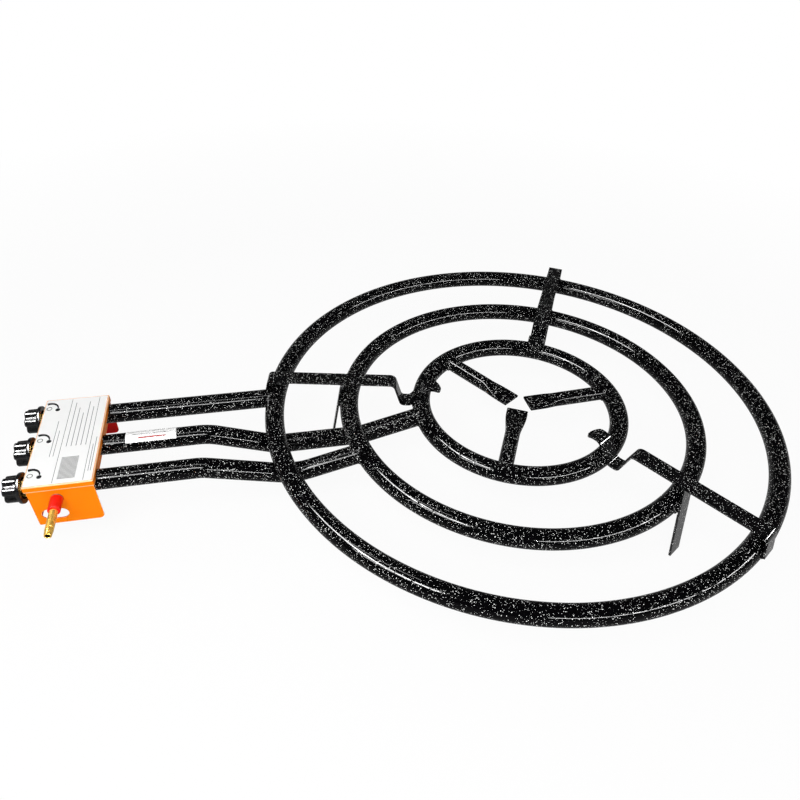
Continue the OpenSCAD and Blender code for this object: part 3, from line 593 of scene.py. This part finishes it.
def loft(bm, rings):
    """Faces between rings of points, each closed on itself; returns the vertex rings."""
    made = [[bm.verts.new(p) for p in ring] for ring in rings]
    for first, second in zip(made, made[1:]):
        for i in range(len(first)):
            j = (i + 1) % len(first)
            bm.faces.new((first[i], first[j], second[j], second[i]))
    return made


def capped_loft(rings):
    bm = bmesh.new()
    made = loft(bm, rings)
    bm.faces.new(made[0])
    bm.faces.new(made[-1])
    return bm


def pinched(share):
    """Half width, half height and squareness, from pinched flat (0) to round (1)."""
    ease = share * share * (3 - 2 * share)
    return PINCH_W + (CENTRE_R - PINCH_W) * ease, PINCH_H + (CENTRE_R - PINCH_H) * ease, 2 + 4 * (1 - ease) ** 2


stations = [(CENTRE_FROM, 0.0)]
stations += [(CENTRE_FROM + PINCH_L + PINCH_TAPER * share, share) for share in steps(0, 1, TAPER_STEPS)]
stations.append((inner.radius - tube_r * 0.5, 1.0))
rings = [[Vector((x, y, z)) for y, z in superellipse(*pinched(share))] for x, share in stations]
rings = [[Vector((CENTRE_FROM + x, v.y * w, v.z * h)) for v in rings[0]] for x, w, h in SLIT] + rings
for i, azimuth in enumerate(CENTRE_AZIMUTHS, 1):
    turn = Matrix.Translation((ring_x, 0, inner.z)) @ Matrix.Rotation(azimuth, 4, "Z")
    bm = capped_loft([[turn @ p for p in ring] for ring in rings])
    solid(f"centre_tube_{i}_pinched", bm, enamel, "enamel", f"centre_tube_{i}")

# %% [markdown]
# ## Bars and sheet with softened edges
# Rolling and paint round off the edges of flat bar and folded sheet, and that thin round catches the light all
# over the photograph. A Bevel modifier needs joined faces, and a CAD mesh is loose triangles, so a copy is merged,
# its flat triangles are dissolved, and its edges bevelled.

# %% Softened copies of bars and sheet
MERGE = 1e-6
FLAT_WITHIN = radians(0.6)
BEVEL_FROM = radians(30)
BAR_ROUND = 0.5 * MM
SHEET_ROUND = 0.35 * MM
LID_FOLD = 1.3 * MM
box_middle = sum(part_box("manifold_chassis"), Vector()) / 2


def softened(node, width, material, slot, fold=0.0):
    """A copy of a CAD node with its sharp edges rounded, and the folds round its top more."""
    bm = bmesh.new()
    bm.from_mesh(nodes[node].data)
    bmesh.ops.remove_doubles(bm, verts=bm.verts, dist=MERGE)
    bmesh.ops.dissolve_limit(bm, angle_limit=FLAT_WITHIN, verts=bm.verts, edges=bm.edges)
    rim, inside = (bm.faces.layers.float.new(mark) for mark in (RIM, INSIDE))
    top = max(v.co.z for v in bm.verts)
    for offset, segments, lowest in ((fold, 4, top - MERGE), (width, 2, -1.0)):
        edges = [e for e in bm.edges if len(e.link_faces) == 2 and e.calc_face_angle(0) > BEVEL_FROM
                 and min(v.co.z for v in e.verts) > lowest]
        if offset:
            rounded = bmesh.ops.bevel(bm, geom=edges, offset=offset, offset_type="OFFSET", segments=segments,
                                      profile=0.5, affect="EDGES", clamp_overlap=True)
            # The rounded faces are marked, and the orange paint gives them a painted highlight
            for face in rounded["faces"]:
                face[rim] = 1.0
    bm.normal_update()
    # Faces that look into the box are marked, and the orange paint gives them painted shade
    for face in bm.faces:
        face[inside] = float(face.normal.dot(face.calc_center_median() - box_middle) < 0)
    for edge in bm.edges:
        tones = {face[rim] for face in edge.link_faces}
        edge.smooth = len(tones) == 1 and edge.calc_face_angle(pi) < SHARP_ANGLE
    piece(node + "_soft", mesh_from(node, bm, material, False), slot, node)


for i in (1, 2, 3):
    softened(f"pan_support_{i}", BAR_ROUND, bar_enamel, "enamel")
    softened(f"leg_{i}", BAR_ROUND, bar_enamel, "enamel")
softened("manifold_cover", SHEET_ROUND, orange_paint, "orange_paint", LID_FOLD)
for node in ("manifold_chassis", "tube_plate"):
    softened(node, SHEET_ROUND, orange_paint, "orange_paint")

# %% [markdown]
# ## Weld beads
# Every joint of tube, bar and ring is a bead of weld under the enamel. Beads could be sculpted, but each one only
# follows a path, so one Geometry Nodes tree sweeps a small circle along all the paths. Its radius ripples, as
# the drops of a weld do, and fades out at the ends of an open bead.

# %% Weld tree
BEAD_SIDES = 12
BEAD_TIP = 0.3
tree, given = start_tree("weld_bead", ("Bead Radius", "Step", "Ripple", "Ripple Pitch", "Fade"))
line = put(tree, "MeshToCurve", {"Mesh": given["Geometry"]})
even = put(tree, "ResampleCurve", {"Curve": line, "Length": given["Step"]}, mode="LENGTH")
along = put(tree, "SplineParameter").outputs["Length"]
whole = put(tree, "SplineLength").outputs["Length"]
to_end = sums(tree, "MINIMUM", along, sums(tree, "SUBTRACT", whole, along))
closed = put(tree, "InputSplineCyclic")
fade = sums(tree, "MAXIMUM", spread(tree, to_end, 0.0, given["Fade"], BEAD_TIP, 1.0), closed)
wave = sums(tree, "SINE", times(tree, sums(tree, "DIVIDE", along, given["Ripple Pitch"]), 2 * pi))
swell = sums(tree, "ADD", 1.0, times(tree, wave, given["Ripple"]))
bead = sweep(tree, even, BEAD_SIDES, given["Bead Radius"], True, times(tree, fade, swell))
end_tree(tree, bead, enamel)

# %% Weld paths
BAR_W = 22 * MM
BAR_T = 3 * MM
SEAM_SHARE = 0.985
SEAM_STEPS = 72
SEAM_REACH = 0.04
SUPPORT_AZIMUTHS = [radians(a) for a in (168.5, 61, -58)]
# Where the beads start and end on the ring's skin, in degrees up from outward
TAB_WELD = (8, 58)
LEG_WELD = (-42, 55)
HOOK_WELD = (2, 72)
LEG_TOP_SHARE = 0.92
LEG_TOP = Vector((0.2470, 0, outer.z + 0.0272))


def seam(origin, axis, radius, ring):
    """Points where a tube, followed from its origin along its axis, first meets a ring."""
    side = axis.orthogonal().normalized()
    points = []
    for k in range(SEAM_STEPS):
        start = origin + Matrix.Rotation(2 * pi * k / SEAM_STEPS, 3, axis) @ side * radius * SEAM_SHARE
        near, far = 0.0, SEAM_REACH
        for _ in range(30):
            half = (near + far) / 2
            p = start + axis * half
            apart = hypot(hypot(p.x - ring_x, p.y) - ring.radius, p.z - ring.z)
            near, far = (half, far) if apart > ring.tube else (near, half)
        points.append(start + axis * near)
    return points


def on_ring(ring, aside, degrees):
    """A place on a ring's skin at azimuth 0: aside along the ring, degrees up from outward."""
    a = radians(degrees)
    return Vector((sqrt(ring.radius ** 2 - aside ** 2) + ring.tube * cos(a), aside, ring.z + ring.tube * sin(a)))


bead_paths = []
for name, ring in rings_by_name.items():
    y, _, route = routes[name + "_feed_tube"]
    before, meet = (Vector((ring_x + x, y, outer.z + z)) for x, z in route[-2:])
    axis = (meet - before).normalized()
    bead_paths.append((seam(meet - axis * SEAM_REACH, axis, tube_r, ring), True))
for azimuth in CENTRE_AZIMUTHS:
    axis = Vector((cos(azimuth), sin(azimuth), 0))
    start = Vector((ring_x, 0, inner.z)) + axis * (inner.radius - SEAM_REACH)
    bead_paths.append((seam(start, axis, CENTRE_R, inner), True))
half_bar = BAR_W / 2
half_bead = half_bar * LEG_TOP_SHARE
for azimuth in SUPPORT_AZIMUTHS:
    up_tab = steps(*TAB_WELD, 10)
    under_tab = [on_ring(outer, aside, TAB_WELD[0]) for aside in steps(-half_bar, half_bar, 16)[1:-1]]
    flat_paths = [[on_ring(outer, -half_bar, a) for a in reversed(up_tab)] + under_tab
                  + [on_ring(outer, half_bar, a) for a in up_tab]]
    for ring, ends in ((middle, LEG_WELD), (inner, HOOK_WELD)):
        for aside in (-half_bar, half_bar):
            flat_paths.append([on_ring(ring, aside, a) for a in steps(*ends, 12)])
    for face in (-BAR_T / 2, BAR_T / 2):
        flat_paths.append([LEG_TOP + Vector((face, aside, 0)) for aside in steps(-half_bead, half_bead, 16)])
    turn = Matrix.Translation((ring_x, 0, 0)) @ Matrix.Rotation(azimuth, 4, "Z")
    bead_paths += [([turn @ p for p in path], False) for path in flat_paths]
print(len(bead_paths), "weld paths")

# %% Weld beads
mesh = grow(tree, "weld_beads", {
    "Bead Radius": 1.7 * MM, "Step": 0.7 * MM, "Ripple": 0.09, "Ripple Pitch": 2.6 * MM, "Fade": 3 * MM},
    path_mesh(*bead_paths))
piece("weld_beads", mesh, "enamel")

# %% [markdown]
# ## Turned nozzle and sleeve
# The brass hose nozzle and the red sleeve are round parts from a lathe. Spin could turn their outlines, but a loft
# through circles closes on itself by plain indices, so no seam needs merging.

# %% Lathe helper
TURN_STEPS = 64


def turned(name, outline, centre, along, material, slot, node):
    """A closed outline of (distance, radius) points in mm turned round an axis."""
    aim = along.to_track_quat("Z", "Y").to_matrix()
    angles = steps(0, 2 * pi, TURN_STEPS)[:-1]
    bm = bmesh.new()
    bore = bm.faces.layers.float.new(BORE)
    made = loft(bm, [[centre + aim @ Vector((r * cos(a), r * sin(a), d)) * MM for a in angles] for d, r in outline])
    # The bore's faces are marked, and the brass paints them near black as painted shade
    for i in range(TURN_STEPS):
        j = (i + 1) % TURN_STEPS
        bm.faces.new((made[-1][i], made[-1][j], made[0][j], made[0][i]))[bore] = 1.0
    solid(name, bm, material, slot, node)


print("lathe ready")

# %% Nozzle and sleeve
# In mm, from the sleeve's end in the box outwards
BORE_R = 2.75
ROUND = 0.5
OUT = Vector((0, -1, 0))
tail_low, tail_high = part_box("hose_tail")
sleeve_low, sleeve_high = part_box("inlet_sleeve")
inlet = (tail_low + tail_high) / 2
inlet.y = sleeve_high.y
sleeve_l = (sleeve_high.y - sleeve_low.y) / MM
sleeve_r = (sleeve_high.x - sleeve_low.x) / 2 / MM
shank_from = (sleeve_high.y - tail_high.y) / MM
nozzle_to = (sleeve_high.y - tail_low.y) / MM
land_r = (tail_high.x - tail_low.x) / 2 / MM
shank_r = land_r - 0.4
land = sleeve_l + 0.2
nozzle_outline = [
    (shank_from, BORE_R), (shank_from, shank_r), (land, shank_r), (land, land_r - ROUND), (land + ROUND, land_r),
    (land + 24, land_r), (land + 24.4, land_r - 0.5), (land + 25.3, land_r - 0.5), (land + 25.7, land_r),
    (land + 28.5, land_r), (land + 29.2, land_r - 0.15), (nozzle_to - ROUND, land_r - 0.7),
    (nozzle_to, land_r - 0.7 - ROUND), (nozzle_to, BORE_R + 0.3), (nozzle_to - 0.4, BORE_R)]
turned("hose_nozzle", nozzle_outline, inlet, OUT, brass_across, "brass", "hose_tail")
sleeve_outline = [
    (0, shank_r + 0.1), (0, sleeve_r - ROUND), (0.2, sleeve_r - 0.15), (ROUND, sleeve_r), (sleeve_l - 2.2, sleeve_r),
    (sleeve_l - 1.9, sleeve_r - 0.4), (sleeve_l - 1.4, sleeve_r - 0.4), (sleeve_l - 1.1, sleeve_r),
    (sleeve_l - 0.6, sleeve_r - 0.1), (sleeve_l - 0.1, sleeve_r - 0.7), (sleeve_l, sleeve_r - 1.2),
    (sleeve_l, shank_r + 0.1)]
turned("red_inlet_sleeve", sleeve_outline, inlet, OUT, red_sleeve, "red_sleeve", "inlet_sleeve")

# %% [markdown]
# ## Knobs
# Moulded knobs have a round skirt, a grip with deep finger flutes and a hollow back over the tap's nut. Six cutters
# would also make flutes. Here each ring of a loft bends inward by its own share, so they run out softly at both ends.

# %% Knob shape
KNOB_STEPS = 120
FLUTES = 6
FLUTE_SPAN = 0.74
# In mm
FLUTE_DEPTH = 3.6
KNOB_ROUND = 1.6
RECESS_R = 13
SPINDLE_R = 3.1


def flute_at(angle):
    """0 on a lobe and 1 in the middle of a flute, with a lobe on top."""
    across = ((angle - pi / 2) * FLUTES / (2 * pi)) % 1 - 0.5
    return cos(pi * across / FLUTE_SPAN) ** 2 if abs(across) < FLUTE_SPAN / 2 else 0.0


def knob_rings(length, skirt_r):
    """Depth, radius and share of the flutes of each ring, from the bore's end round the back to the front."""
    grip_r, recess, skirt = skirt_r - 2.5, length - 7.5, length - 4
    rings = [(length - 16, SPINDLE_R, 0), (recess, SPINDLE_R, 0), (recess, RECESS_R, 0), (length - 0.5, RECESS_R, 0),
             (length, RECESS_R + 0.5, 0), (length, skirt_r - 0.6, 0), (length - 0.6, skirt_r, 0),
             (skirt + 0.8, skirt_r, 0), (skirt + 0.2, skirt_r - 0.3, 0), (skirt - 0.1, skirt_r - 0.9, 0),
             (skirt - 0.3, grip_r + 0.4, 0.35), (skirt - 0.9, grip_r, 0.85), (skirt - 1.8, grip_r, 1),
             (skirt - 6, grip_r - 0.05, 1), (KNOB_ROUND, grip_r - 0.2, 1)]
    for k in range(1, 6):
        turn = pi / 2 * k / 5
        rings.append((KNOB_ROUND * (1 - sin(turn)), grip_r - 0.2 - KNOB_ROUND * (1 - cos(turn)), 1))
    return rings + [(0, grip_r - 4.2, 0.85), (0.1, grip_r - 4.8, 0.7), (0.9, grip_r - 6.2, 0.3),
                    (1, grip_r - 7, 0.1), (1, 2, 0)]


print("knob with", FLUTES, "flutes")

# %% Knobs
MARK_SIZE = Vector((1.7, 1.4, 6.6)) * MM
MARK_AT = Vector((0.75, 0, 10.4)) * MM
MARK_ROUND = 0.25 * MM
angles = steps(0, 2 * pi, KNOB_STEPS)[:-1]
for i in (1, 2, 3):
    node = f"knob_{i}"
    low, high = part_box(node)
    front = Vector((low.x, *middle_yz(node)))
    rings = []
    for depth, radius, share in knob_rings((high.x - low.x) / MM, (high.z - low.z) / 2 / MM):
        around = [(a, radius - share * FLUTE_DEPTH * flute_at(a)) for a in angles]
        rings.append([front + Vector((depth, r * cos(a), r * sin(a))) * MM for a, r in around])
    solid(f"fluted_knob_{i}", capped_loft(rings), knob_plastic, "knob_plastic", node, body=node)
    bm = bmesh.new()
    bmesh.ops.create_cube(bm, size=1)
    mark = Matrix.Translation(front + MARK_AT) @ Matrix.Diagonal((*MARK_SIZE, 1))
    bmesh.ops.transform(bm, matrix=mark, verts=bm.verts)
    bmesh.ops.bevel(bm, geom=list(bm.edges), offset=MARK_ROUND, segments=2, profile=0.5, affect="EDGES")
    solid(f"knob_mark_{i}", bm, white_ink, "knob_plastic", body=node)

# %% [markdown]
# ## Label and sticker
# A white film label covers the lid, and a small one wraps a feed tube. Both are left without words: the lid's has
# rules and the turn marks of the taps. Print could be a painted texture. Thin plates of ink on a thin plate of film
# keep crisp edges at any distance.

# %% Lid label
FILM = 0.16 * MM
INK = 0.05 * MM
LABEL_INSET = (1.5 * MM, 1.7 * MM)
LABEL_ROUND = 1.5 * MM
lid_low, lid_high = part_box("manifold_cover")
label_x = (lid_low.x + LABEL_INSET[0], lid_high.x - LABEL_INSET[1])
label_y = (lid_low.y + LABEL_INSET[0], lid_high.y - LABEL_INSET[1])


def on_label(u, v):
    """A place on the label, from shares of its width and length."""
    return Vector((label_x[0] + u * (label_x[1] - label_x[0]), label_y[0] + v * (label_y[1] - label_y[0]), 0))


def plate(bm, rows, closed=False):
    """A closed plate between four rows of points: two below, then two above."""
    rows = [[bm.verts.new(p) for p in row] for row in rows]
    count = len(rows[0])
    for i in range(count if closed else count - 1):
        j = (i + 1) % count
        for a, b in ((0, 1), (1, 3), (3, 2), (2, 0)):
            bm.faces.new((rows[a][i], rows[b][i], rows[b][j], rows[a][j]))
    if not closed:
        for i in (0, count - 1):
            bm.faces.new((rows[0][i], rows[1][i], rows[3][i], rows[2][i]))


def arc_row(centre, radius, angles):
    """Points round a centre, whose radius may change from the first to the last."""
    return [centre + Vector((radius(k) * cos(a), radius(k) * sin(a), 0)) for k, a in enumerate(angles)]


corners = []
for cx, cy, start in ((1, 1, 0), (0, 1, 90), (0, 0, 180), (1, 0, 270)):
    middle_of = Vector((label_x[cx] - (2 * cx - 1) * LABEL_ROUND, label_y[cy] - (2 * cy - 1) * LABEL_ROUND, 0))
    corners += arc_row(middle_of, lambda k: LABEL_ROUND, [radians(start + t) for t in range(0, 91, 15)])
film = [[(p.x, p.y, lid_high.z + lift) for p in corners] for lift in (0, FILM)]
solid("lid_label", capped_loft(film), label_stock, "fibre")

# %% Print on the label
INK_HEIGHTS = (lid_high.z + FILM - INK, lid_high.z + FILM + INK)
# Rules: place across, start and end along the label, and width in mm
RULES = [(0.42, 0.01, 0.99, 0.5), (0.87, 0.01, 0.99, 0.5)]
GREY_RULES = [(0.50 + 0.075 * k, 0.40, 0.94 - 0.07 * (k % 3), 0.7) for k in range(5)]
GREY_RULES += [(0.28 + 0.055 * k, 0.30, 0.72 - 0.12 * k, 0.6) for k in range(2)]
GREY_RULES += [(0.92 + 0.035 * k, 0.10, 0.40 + 0.08 * k, 0.6) for k in range(2)]
HATCH_ACROSS = (0.48, 0.74)
HATCH_ALONG = [0.05 + 0.0125 * k for k in range(19)]
HATCH_WIDTH = 0.8 * MM
ARC_STEPS = 28
ARC_FROM = radians(112)
ARC_INSET = 5 * MM
DOT_AT = Vector((10.5, -3.2, 0)) * MM


def ribbon(bm, first, second, closed=False):
    """A flat plate of ink on the label, between two rows of points."""
    plate(bm, [[(p.x, p.y, z) for p in row] for z in INK_HEIGHTS for row in (first, second)], closed)


def rule(bm, start, end, width):
    """A straight line of ink between two places on the label."""
    aside = (end - start).normalized().cross(Vector((0, 0, width / 2)))
    ribbon(bm, [start - aside, end - aside], [start + aside, end + aside])


bm = bmesh.new()
for u, v_from, v_to, width in GREY_RULES:
    rule(bm, on_label(u, v_from), on_label(u, v_to), width * MM)
solid("lid_print_grey", bm, grey_ink, "fibre")
bm = bmesh.new()
for u, v_from, v_to, width in RULES:
    rule(bm, on_label(u, v_from), on_label(u, v_to), width * MM)
for v in HATCH_ALONG:
    rule(bm, *(on_label(u, v) for u in HATCH_ACROSS), HATCH_WIDTH)
sweep_angles = steps(ARC_FROM, 0, ARC_STEPS)
rounds = steps(0, 2 * pi, ARC_STEPS)[:-1]
for i in (1, 2, 3):
    centre = Vector((label_x[0] + ARC_INSET, middle_yz(f"knob_{i}")[0], 0))
    ribbon(bm, arc_row(centre, lambda k: (7.6 + 2.2 * (k / ARC_STEPS)) * MM, sweep_angles),
           arc_row(centre, lambda k: (12.0 - 0.8 * (k / ARC_STEPS)) * MM, sweep_angles))
    for at, inner_r, outer_r in ((centre, 2.5, 3.3), (centre + DOT_AT, 0.1, 2.9)):
        ribbon(bm, *(arc_row(at, lambda k: r * MM, rounds) for r in (inner_r, outer_r)), True)
solid("lid_print", bm, black_ink, "fibre")

# %% Sticker on the middle feed tube
STICKER_STEPS = 24


def wrapped(name, x_range, degrees, lifts, material):
    """A thin plate bent round the middle feed tube, between two angles."""
    angles = [radians(d) for d in steps(*degrees, STICKER_STEPS)]
    bm = bmesh.new()
    plate(bm, [[(x, -(tube_r + lift) * cos(a), outer.z + (tube_r + lift) * sin(a)) for a in angles]
               for lift in lifts for x in x_range])
    solid(name, bm, material, "fibre")


wrapped("tube_sticker", (-0.3715, -0.3105), (36, 150), (-0.02 * MM, FILM), label_stock)
wrapped("sticker_rule_red", (-0.3560, -0.3230), (58, 66), (FILM - INK, FILM + INK), red_ink)
wrapped("sticker_rule_grey", (-0.3640, -0.3150), (84, 87), (FILM - INK, FILM + INK), grey_ink)

# %% [markdown]
# ## Lid screws
# Two pan-head screws hold the lid on the knob side. They repeat, so one Geometry Nodes tree makes a screw with a
# domed head, a cross recess and a thread, and sets a copy at each vertex of a carrier mesh.

# %% Screw head
DOME_POWER = 2.5
# Shares of the recess's width, the head's height, the shank's length and the thread's pitch
CROSS_LENGTH = 4.2
CROSS_LIFT = 1.2
THREAD_LENGTH = 0.96
THREAD_DROP = 0.98
THREAD_RADIUS = 0.34
tree, given = start_tree(
    "pan_screw", ("Head Radius", "Head Height", "Dome", "Shank Radius", "Shank Length", "Pitch", "Recess"),
    Facing="Vector")
head_h, shank_l = given["Head Height"], given["Shank Length"]
head = put(tree, "MeshCylinder", {
    "Vertices": 40, "Side Segments": 1, "Fill Segments": 6, "Radius": given["Head Radius"], "Depth": head_h})
where = put(tree, "InputPosition")
out_share = sums(tree, "DIVIDE", vectors(tree, "LENGTH", vectors(tree, "MULTIPLY", where, (1, 1, 0))),
                 given["Head Radius"])
dome = times(tree, given["Dome"], sums(tree, "SUBTRACT", 1.0, sums(tree, "POWER", out_share, DOME_POWER)))
on_top = sums(tree, "GREATER_THAN", put(tree, "SeparateXYZ", {0: where}).outputs["Z"], 0.0)
domed = put(tree, "SetPosition", {"Geometry": head, "Offset": upwards(tree, times(tree, dome, on_top))})
raised = moved(tree, domed, upwards(tree, times(tree, head_h, 0.5)))
cross = put(tree, "JoinGeometry")
long_side = times(tree, given["Recess"], CROSS_LENGTH)
for size_x, size_y in ((long_side, given["Recess"]), (given["Recess"], long_side)):
    slot_box = put(tree, "MeshCube", {"Size": put(tree, "CombineXYZ", {"X": size_x, "Y": size_y, "Z": head_h})})
    placed = moved(tree, slot_box, upwards(tree, times(tree, head_h, CROSS_LIFT)))
    fill(tree, cross, {0: placed})
recessed = put(tree, "MeshBoolean", {"Mesh 1": raised, "Mesh 2": cross}, operation="DIFFERENCE", solver="EXACT")
print("screw head with", len(tree.nodes), "nodes")

# %% Screw shank and thread
shank = put(tree, "MeshCylinder", {"Vertices": 24, "Radius": given["Shank Radius"], "Depth": shank_l})
hung = moved(tree, shank, upwards(tree, times(tree, shank_l, -0.5)))
helix = put(tree, "CurveSpiral", {
    "Resolution": 20, "Rotations": sums(tree, "DIVIDE", shank_l, given["Pitch"]),
    "Height": times(tree, shank_l, THREAD_LENGTH), "Start Radius": given["Shank Radius"],
    "End Radius": given["Shank Radius"]})
thread = sweep(tree, helix, 5, times(tree, given["Pitch"], THREAD_RADIUS), True)
sunk = moved(tree, thread, upwards(tree, times(tree, shank_l, -THREAD_DROP)))
screw = put(tree, "JoinGeometry")
for part in (recessed, hung, sunk):
    fill(tree, screw, {0: part})
end_tree(tree, stand(tree, given["Geometry"], screw, given["Facing"]), zinc)

# %% Lid screws
HEAD_H = 1.5 * MM
screws_low, screws_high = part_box("cover_screws")
head_r = (screws_high.z - screws_low.z) / 2
screw_spots = [(lid_low.x, y, screws_low.z + head_r) for y in (screws_low.y + head_r, screws_high.y - head_r)]
mesh = grow(tree, "lid_screws", {
    "Head Radius": head_r, "Head Height": HEAD_H, "Dome": lid_low.x - screws_low.x - HEAD_H,
    "Shank Radius": 1.75 * MM, "Shank Length": screws_high.x - lid_low.x, "Pitch": 0.7 * MM, "Recess": 0.9 * MM,
    "Facing": (-1.0, 0.0, 0.0)}, path_mesh(*(([spot], False) for spot in screw_spots)))
piece("lid_screws", mesh, "zinc", "cover_screws")

# %% [markdown]
# ## Floor, light and world
# The photograph stands on plain white. The floor is a pale sheet that shows the camera mostly plain white, so it
# stays white and still holds a shadow. The world is white behind the object and dim overhead, as a studio is, and
# mirrors see the floor darker, so that the black enamel stays black. Soft boxes light the object, and long strips
# that only mirrors see give the thin bright lines along the tubes.

# %% Floor
FLOOR_SIZE = 14
FLOOR_ALBEDO = 0.8
SEEN_SHARE = 0.93
SEEN_WHITE = 1.0
MIRRORED_WHITE = 0.45
SHADOW_REACH = (0.75, 1.5)

floor_mesh = bpy.data.meshes.new("floor")
half = FLOOR_SIZE / 2
floor_mesh.from_pydata([(-half, -half, 0), (half, -half, 0), (half, half, 0), (-half, half, 0)], [], [(0, 1, 2, 3)])
floor = add_object("floor", floor_mesh)

floor_white = bpy.data.materials.new("floor_white")
floor_white.use_nodes = True
tree = floor_white.node_tree
tree.nodes.clear()
away = vectors(tree, "LENGTH", put(tree, "TexCoord").outputs["Object"])
matt = put(tree, "BsdfDiffuse", {"Color": (FLOOR_ALBEDO,) * 3})
paths = put(tree, "LightPath").outputs
glow = put(tree, "Emission", {
    "Strength": spread(tree, paths["Is Camera Ray"], 0.0, 1.0, MIRRORED_WHITE, SEEN_WHITE)})
seen = sums(tree, "MAXIMUM", paths["Is Camera Ray"], paths["Is Glossy Ray"])
share = times(tree, seen, spread(tree, away, *SHADOW_REACH, SEEN_SHARE, 1.0))
both = put(tree, "MixShader", {0: share, 1: matt, 2: glow})
put(tree, "OutputMaterial", {"Surface": both})
floor_mesh.materials.append(floor_white)
print("floor", FLOOR_SIZE, "m wide")

# %% World
WORLD_LIGHT = 0.34
CEILING = 0.05
CEILING_FROM = 0.18
HORIZON = 0.55
world = bpy.data.worlds.new("studio")
world.use_nodes = True
scene.world = world
tree = world.node_tree
height = put(tree, "SeparateXYZ", {0: put(tree, "TexCoord").outputs["Generated"]}).outputs["Z"]
studio = spread(tree, height, 0.0, CEILING_FROM, HORIZON, CEILING)
paths = put(tree, "LightPath").outputs
lit = spread(tree, paths["Is Glossy Ray"], 0.0, 1.0, WORLD_LIGHT, studio)
seen = spread(tree, paths["Is Camera Ray"], 0.0, 1.0, lit, 1.0)
fill(tree, tree.nodes["Background"], {"Color": (1, 1, 1), "Strength": seen})
print("world", WORLD_LIGHT)

# %% Lamps
def softbox(name, azimuth, elevation, distance, size, watts, mirrors_only=False, about=ring_centre):
    """A rectangular lamp that faces the rings, or another place."""
    lamp = bpy.data.lights.new(name, "AREA")
    lamp.shape = "RECTANGLE"
    lamp.size, lamp.size_y = size
    lamp.energy = watts
    holder = add_object(name, lamp)
    towards = direction(radians(azimuth), radians(elevation))
    holder.location = about + towards * distance
    holder.rotation_euler = towards.to_track_quat("Z", "Y").to_euler()
    holder.visible_camera = False
    holder.visible_diffuse = not mirrors_only
    holder.visible_glossy = mirrors_only


key_centre = ring_centre + Vector((-0.35, -0.25, 0))
feed_centre = Vector((FEED_START + ring_x + 0.08, 0, outer.z))
softbox("key", -35, 58, 1.3, (1.2, 0.9), 16, about=key_centre)
softbox("front_fill", -5, 24, 2.6, (2.2, 0.9), 22)
softbox("back_fill", 160, 50, 2.6, (1.8, 1.2), 7)
for azimuth in (-92, -64):
    softbox(f"strip_left_{azimuth}", azimuth, 48, 2.2, (1.1, 0.24), 110, True)
for azimuth in (12, 40, 68):
    softbox(f"strip_right_{azimuth}", azimuth, 25, 2.2, (1.1, 0.09), 45, True)
softbox("strip_feed", -18, 46, 0.6, (0.5, 0.09), 8.5, True, feed_centre)
softbox("strip_feed_high", -10, 80, 0.6, (0.5, 0.03), 2.0, True, feed_centre)
scene.view_settings.view_transform = "Standard"

# %% [markdown]
# ## Return springs
# Each tap has a coil spring between its spindle's collar and its plug. It could be a Screw modifier on a circle. A
# spiral swept in Geometry Nodes keeps its turns and wire as inputs.

# %% Return spring tree
COIL_STEPS = 24
WIRE_SIDES = 10
tree, given = start_tree("return_spring", ("Coil Radius", "Wire Radius", "Length", "Turns"), Along="Vector")
coil = put(tree, "CurveSpiral", {
    "Resolution": COIL_STEPS, "Rotations": given["Turns"], "Start Radius": given["Coil Radius"],
    "End Radius": given["Coil Radius"], "Height": given["Length"]})
wire = sweep(tree, coil, WIRE_SIDES, given["Wire Radius"], True)
end_tree(tree, stand(tree, given["Geometry"], wire, given["Along"]), spring_steel)

# %% The three return springs
WIRE_R = 0.45 * MM
SPRING_TURNS = 5.0
for i in (1, 2, 3):
    low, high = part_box(f"tap_spring_{i}")
    middle_at = middle_yz(f"tap_spring_{i}")
    mesh = grow(tree, f"return_spring_{i}", {
        "Coil Radius": (high.y - low.y) / 2 - WIRE_R, "Wire Radius": WIRE_R, "Length": high.x - low.x - 2 * WIRE_R,
        "Turns": SPRING_TURNS, "Along": (1.0, 0.0, 0.0)}, path_mesh(([(low.x + WIRE_R, *middle_at)], False)))
    made = piece(f"return_spring_{i}", mesh, "spring_steel", f"tap_spring_{i}", body=f"tap_{i}")
    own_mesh(made)

# %% [markdown]
# ## Finishes on the CAD nodes that stay
# The taps and the gas rail are turned parts inside the box, whose CAD shapes are right as they are. They only
# need their own finish in place of the frame's plain one.

# %% Finishes for carried-over nodes
node_finishes = {
    "tap_body": brass_along, "gland_nut": brass_along, "injector": brass_along, "tap_plug": brass_along,
    "rail_plug": brass_across, "tap_spindle": steel, "gas_rail": zinc, "inlet_washer": fibre,
}
for name, cad in nodes.items():
    kind = name.rstrip("_0123456789")
    if kind in node_finishes:
        cad.data.materials.clear()
        cad.data.materials.append(node_finishes[kind])
print("finished", sum(not n.hide_render for n in nodes.values()), "CAD nodes that stay")
